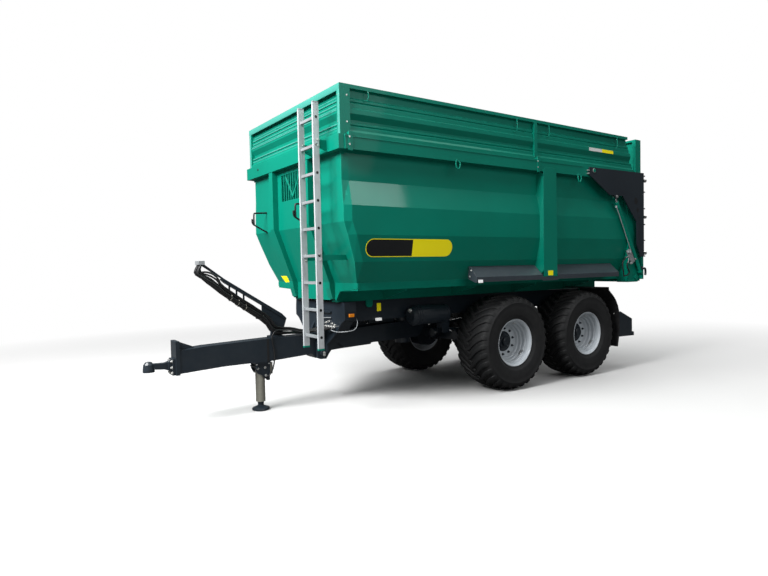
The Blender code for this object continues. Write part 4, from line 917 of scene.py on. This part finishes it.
RUNG_Z = [0.887 + 0.280 * k for k in range(9)]
RAIL_Y = (0.650, 0.980)
rungs = Form()
for z in RUNG_Z:
    rungs.box(3.3642, 3.3958, 0.6630, 0.9670, z - 0.0146, z + 0.0146)
rungs.make("ladder_rungs", "tub", "aluminium", RUNG_SHADED, bevel=0.002)
ends = Form()
for z in RUNG_Z:
    for y, out in ((0.9926, 1), (0.6374, -1)):
        ends.turned(
            "Y", [(0.0150, -0.0004 * out), (0.0150, 0.0006 * out), (0.0120, 0.0008 * out)], (3.380, y, z),
            16,
        )
ends.make("ladder_rung_ends", "tub", "plastic", BLACK, 35)
caps = Form()
for y in RAIL_Y:
    caps.box(3.3490, 3.4160, y - 0.0135, y + 0.0135, 3.270, 3.284)
caps.make("ladder_end_caps", "tub", "plastic", ZINC_PALE, 35, bevel=0.003)
feet = Form()
for y in RAIL_Y:
    feet.box(3.3490, 3.4160, y - 0.0135, y + 0.0135, 0.754, 0.772)
feet.make("ladder_feet", "tub", "green", GREEN, bevel=0.0015)
rivets = Form()
for y, z in ((0.980, 2.870), (0.980, 1.708), (0.650, 2.870), (0.650, 1.708)):
    rivets.bolt("Y", 1, (3.372, y + 0.0126, z + 0.03), 0.0085, 0.009)
    rivets.bolt("Y", 1, (3.372, y + 0.0126, z - 0.03), 0.0085, 0.009)
rivets.make("ladder_bolts", "tub", "steel", BRIGHT, 35)


# Tailgate: pins, bolts, holes drawn as black discs of painted shade, hooks, the cylinders' valves, pipes and
# hoses

ARM_FACE = 1.2800
for side_name, side in SIDES:
    pins = Form()
    pins.turned(
        "Y", [(0.030, ARM_FACE), (0.030, ARM_FACE + 0.006), (0.016, ARM_FACE + 0.0085)], (-0.745, 0, 2.870),
        24,
    )
    for z in (2.866, 2.825):
        pins.turned("Y", [(0.010, ARM_FACE - 0.030), (0.010, ARM_FACE + 0.004)], (-0.632, 0, z), 12)
    pins.turned(
        "Y", [(0.022, ARM_FACE), (0.022, ARM_FACE + 0.0080), (0.012, ARM_FACE + 0.0095)],
        (-1.270, 0, 2.540), 6,
    )
    for z in (2.885, 2.646, 2.398, 2.160, 1.920, 1.683):
        pins.turned("X", [(0.0110, -2.004), (0.0110, -1.964)], (0, 1.2560, z), 6)
    for z in (2.816, 2.273, 1.728):
        pins.turned(
            "X", [(0.016, -2.033), (0.018, -2.028), (0.018, -2.020), (0.026, -2.018), (0.026, -1.964)],
            (0, 1.258, z), 8,
        )
    pins.on_side(side).make("gate_pins_" + side_name, "tailgate", "steel", BRIGHT, 35)
    # The arm's holes are thin black discs on its face: painted shade.
    dark = Form()
    for x, z, rx, rz in (
        (-1.741, 2.499, 0.044, 0.050), (-1.785, 2.368, 0.026, 0.034), (-1.817, 2.262, 0.014, 0.018),
    ):
        ring = [
            (x + rx * math.cos(2 * math.pi * k / 24), z + rz * math.sin(2 * math.pi * k / 24))
            for k in range(24)
        ]
        dark.prism("Y", ring, ARM_FACE + 0.0001, ARM_FACE + 0.0007)
    dark.on_side(side).make("arm_hole_shade_" + side_name, "tailgate", "plastic", BLACK, 35)
    latch = Form()
    latch.tube(
        [
            (-1.905, 1.262, 1.505), (-1.950, 1.266, 1.498), (-1.990, 1.262, 1.500), (-2.012, 1.260, 1.482),
            (-2.016, 1.260, 1.430), (-2.008, 1.260, 1.395),
        ],
        0.0165, 10, smooth=2,
    )
    latch.box(-1.925, -1.900, 1.2453, 1.275, 1.480, 1.530)
    latch.on_side(side).make("gate_hook_" + side_name, "tailgate", "anthracite", ANTHRACITE, 50)

    lines = Form()
    lines.tube(
        [
            (-1.262, 1.272, 2.405), (-1.285, 1.276, 2.360), (-1.440, 1.276, 2.080), (-1.600, 1.272, 1.800),
            (-1.625, 1.262, 1.745),
        ],
        0.0060, 10, smooth=1,
    )
    for x, y, z in ((-1.268, 1.270, 2.395), (-1.622, 1.262, 1.752)):
        lines.turned("Z", [(0.013, z - 0.016), (0.013, z + 0.016)], (x, y, 0), 6)
    lines.prism("Y", [(-1.590, 1.760), (-1.650, 1.790), (-1.755, 1.610), (-1.695, 1.580)], 1.212, 1.252)
    for x, y, z in ((-1.600, 1.230, 1.742), (-1.668, 1.230, 1.580), (-1.760, 1.230, 1.640)):
        lines.turned("Y", [(0.015, y), (0.015, y + 0.032), (0.011, y + 0.036)], (x, 0, z), 6)
    for end in ((-1.560, 1.226, 1.660), (-1.600, 1.226, 1.584)):
        lines.tube(
            [(-1.640, 1.226, 1.680), (end[0] - 0.02, end[1], end[2] + 0.01), end], 0.0085, 10, smooth=1,
        )
    lines.on_side(side).make("gate_valve_and_pipe_" + side_name, "tub", "steel", ZINC_PALE, 40)
    hose = Form()
    hose.tube(
        [
            (-1.560, 1.226, 1.660), (-1.490, 1.228, 1.615), (-1.470, 1.228, 1.560), (-1.500, 1.226, 1.470),
            (-1.520, 1.218, 1.400),
        ],
        0.0095, 10, smooth=2,
    )
    hose.tube(
        [
            (-1.600, 1.226, 1.584), (-1.585, 1.228, 1.530), (-1.640, 1.228, 1.470), (-1.655, 1.222, 1.430),
            (-1.600, 1.218, 1.398), (-1.520, 1.216, 1.392),
        ],
        0.0095, 10, smooth=2,
    )
    hose.on_side(side).make("gate_hoses_" + side_name, "tub", "plastic", HOSE, 60)


# Rear lamps and the blank number plate holder

for side_name, side in SIDES:
    for label, y0, y1, look in (
        ("brake", 1.060, 1.180, RED_LENS), ("turn", 0.980, 1.056, AMBER_LENS),
        ("reverse", 0.904, 0.976, CLEAR_LENS),
    ):
        form = Form()
        low, high = sorted((side * y0, side * y1))
        form.box(-1.766, -1.750, low, high, 0.585, 0.715)
        form.make("lamp_%s_%s" % (label, side_name), "chassis", "plastic", look, bevel=0.006)
    tri = Form()
    low, high = -1.8055, -1.8010
    tri.prism("X", [(side * 1.090, 0.497), (side * 1.180, 0.497), (side * 1.135, 0.542)], low, high)
    tri.make("rear_reflector_" + side_name, "chassis", "plastic", RED_LENS, bevel=0.001)
holder = Form()
holder.box(-1.652, -1.640, -0.270, 0.270, 0.625, 0.755)
holder.make("number_plate_holder", "chassis", "plastic", PLASTIC, bevel=0.003)


# Camera where the photograph was taken, from a least squares fit

CAMERA_AT = (6.1606 - MID_X, 6.3031, 1.6006)
YAW = math.radians(234.559)
PITCH = math.radians(-2.312)
ROLL = math.radians(-1.151)
FOCAL_PX = 581.92
CENTRE_PX = (400.06, 289.88)
IMAGE_PX = (768, 576)

ahead = Vector((math.cos(YAW) * math.cos(PITCH), math.sin(YAW) * math.cos(PITCH), math.sin(PITCH)))
right = ahead.cross(Vector((0, 0, 1))).normalized()
up = right.cross(ahead)
right_rolled = right * math.cos(ROLL) + up * math.sin(ROLL)
up_rolled = up * math.cos(ROLL) - right * math.sin(ROLL)
optics = bpy.data.cameras.new("camera")
camera = bpy.data.objects.new("camera", optics)
bpy.context.scene.collection.objects.link(camera)
turn = Matrix((right_rolled, up_rolled, -ahead)).transposed().to_4x4()
camera.matrix_world = Matrix.Translation(Vector(CAMERA_AT)) @ turn
optics.sensor_width = 36.0
optics.lens = FOCAL_PX / IMAGE_PX[0] * optics.sensor_width
optics.shift_x = (IMAGE_PX[0] / 2 - CENTRE_PX[0]) / IMAGE_PX[0]
optics.shift_y = (CENTRE_PX[1] - IMAGE_PX[1] / 2) / IMAGE_PX[0]
optics.clip_end = 200.0
bpy.context.scene.camera = camera


# Floor, light and background

BACKGROUND = (1.0, 1.0, 1.0, 1)
FLOOR_PALE = (0.560, 0.560, 0.556, 1)
FLOOR_LIGHT = (0.600, 0.600, 0.596, 1)
FLOOR_UNSEEN = (0.110, 0.110, 0.110, 1)

floor_mesh = bpy.data.meshes.new("studio_floor")
floor_work = bmesh.new()
bmesh.ops.create_grid(floor_work, x_segments=1, y_segments=1, size=60.0)
floor_work.to_mesh(floor_mesh)
floor_work.free()
floor = bpy.data.objects.new("studio_floor", floor_mesh)
bpy.context.scene.collection.objects.link(floor)
floor_look = Nodes("studio_floor")
seen = floor_look.add("ShaderNodeLightPath").outputs["Is Camera Ray"]
pale = floor_look.mix(floor_look.noise(0.6, 5.0), FLOOR_PALE, FLOOR_LIGHT)
floor_look.set(Base_Color=floor_look.mix(seen, FLOOR_UNSEEN, pale), Roughness=0.9, Specular_IOR_Level=0.0)
reach = floor_look.add("ShaderNodeVectorMath", {0: floor_look.coords}, operation="LENGTH").outputs["Value"]
far = floor_look.math("MULTIPLY", floor_look.ramp(reach, 4.0, 11.0), seen)
glow = floor_look.add("ShaderNodeEmission", {"Color": BACKGROUND, "Strength": 1.0}).outputs["Emission"]
fade = floor_look.add("ShaderNodeMixShader", {0: far, 1: floor_look.shader.outputs["BSDF"], 2: glow})
surface = floor_look.tree.nodes["Material Output"].inputs["Surface"]
floor_look.tree.links.new(fade.outputs["Shader"], surface)
floor.data.materials.append(floor_look.material)


def area_light(name, where, aim_at, size, watts, colour=(1, 1, 1)):
    lamp = bpy.data.lights.new(name, "AREA")
    lamp.shape = "RECTANGLE"
    lamp.size, lamp.size_y = size
    lamp.energy = watts
    lamp.color = colour
    obj = bpy.data.objects.new(name, lamp)
    bpy.context.scene.collection.objects.link(obj)
    way = Vector(aim_at) - Vector(where)
    obj.matrix_world = Matrix.Translation(Vector(where)) @ way.to_track_quat("-Z", "Y").to_matrix().to_4x4()
    return obj


area_light("sky_panel", (0, 0, 10.0), (0, 0, 0), (14.0, 12.0), 1000)
area_light("front_panel", (8.9, 1.1, 8.0), (0, 0, 1.6), (5.5, 4.5), 2750)
area_light("side_panel", (-0.5, 12.0, 7.0), (0, 0, 1.8), (11.0, 5.0), 330)
area_light("low_panel", (7.0, 8.5, 1.1), (0.8, 0.8, 0.6), (5.0, 1.6), 75)
area_light("back_panel", (-10.0, -5.0, 5.0), (0, 0, 1.5), (8.0, 6.0), 600)
gleam = area_light("gleam_panel", (-4.8, 9.9, 8.0), (0.9, 1.2, 1.8), (2.6, 1.6), 190)
gleam.visible_diffuse = False

world = bpy.data.worlds.new("studio")
bpy.context.scene.world = world
world.use_nodes = True
tree = world.node_tree
tree.nodes.clear()
path = tree.nodes.new("ShaderNodeLightPath")
soft = tree.nodes.new("ShaderNodeBackground")
soft.inputs["Color"].default_value = (0.92, 0.96, 1.0, 1)
soft.inputs["Strength"].default_value = 0.14
plain = tree.nodes.new("ShaderNodeBackground")
plain.inputs["Color"].default_value = BACKGROUND
plain.inputs["Strength"].default_value = 1.0
blend = tree.nodes.new("ShaderNodeMixShader")
out = tree.nodes.new("ShaderNodeOutputWorld")
tree.links.new(path.outputs["Is Camera Ray"], blend.inputs["Fac"])
tree.links.new(soft.outputs["Background"], blend.inputs[1])
tree.links.new(plain.outputs["Background"], blend.inputs[2])
tree.links.new(blend.outputs["Shader"], out.inputs["Surface"])
bpy.context.scene.view_settings.view_transform = "Standard"
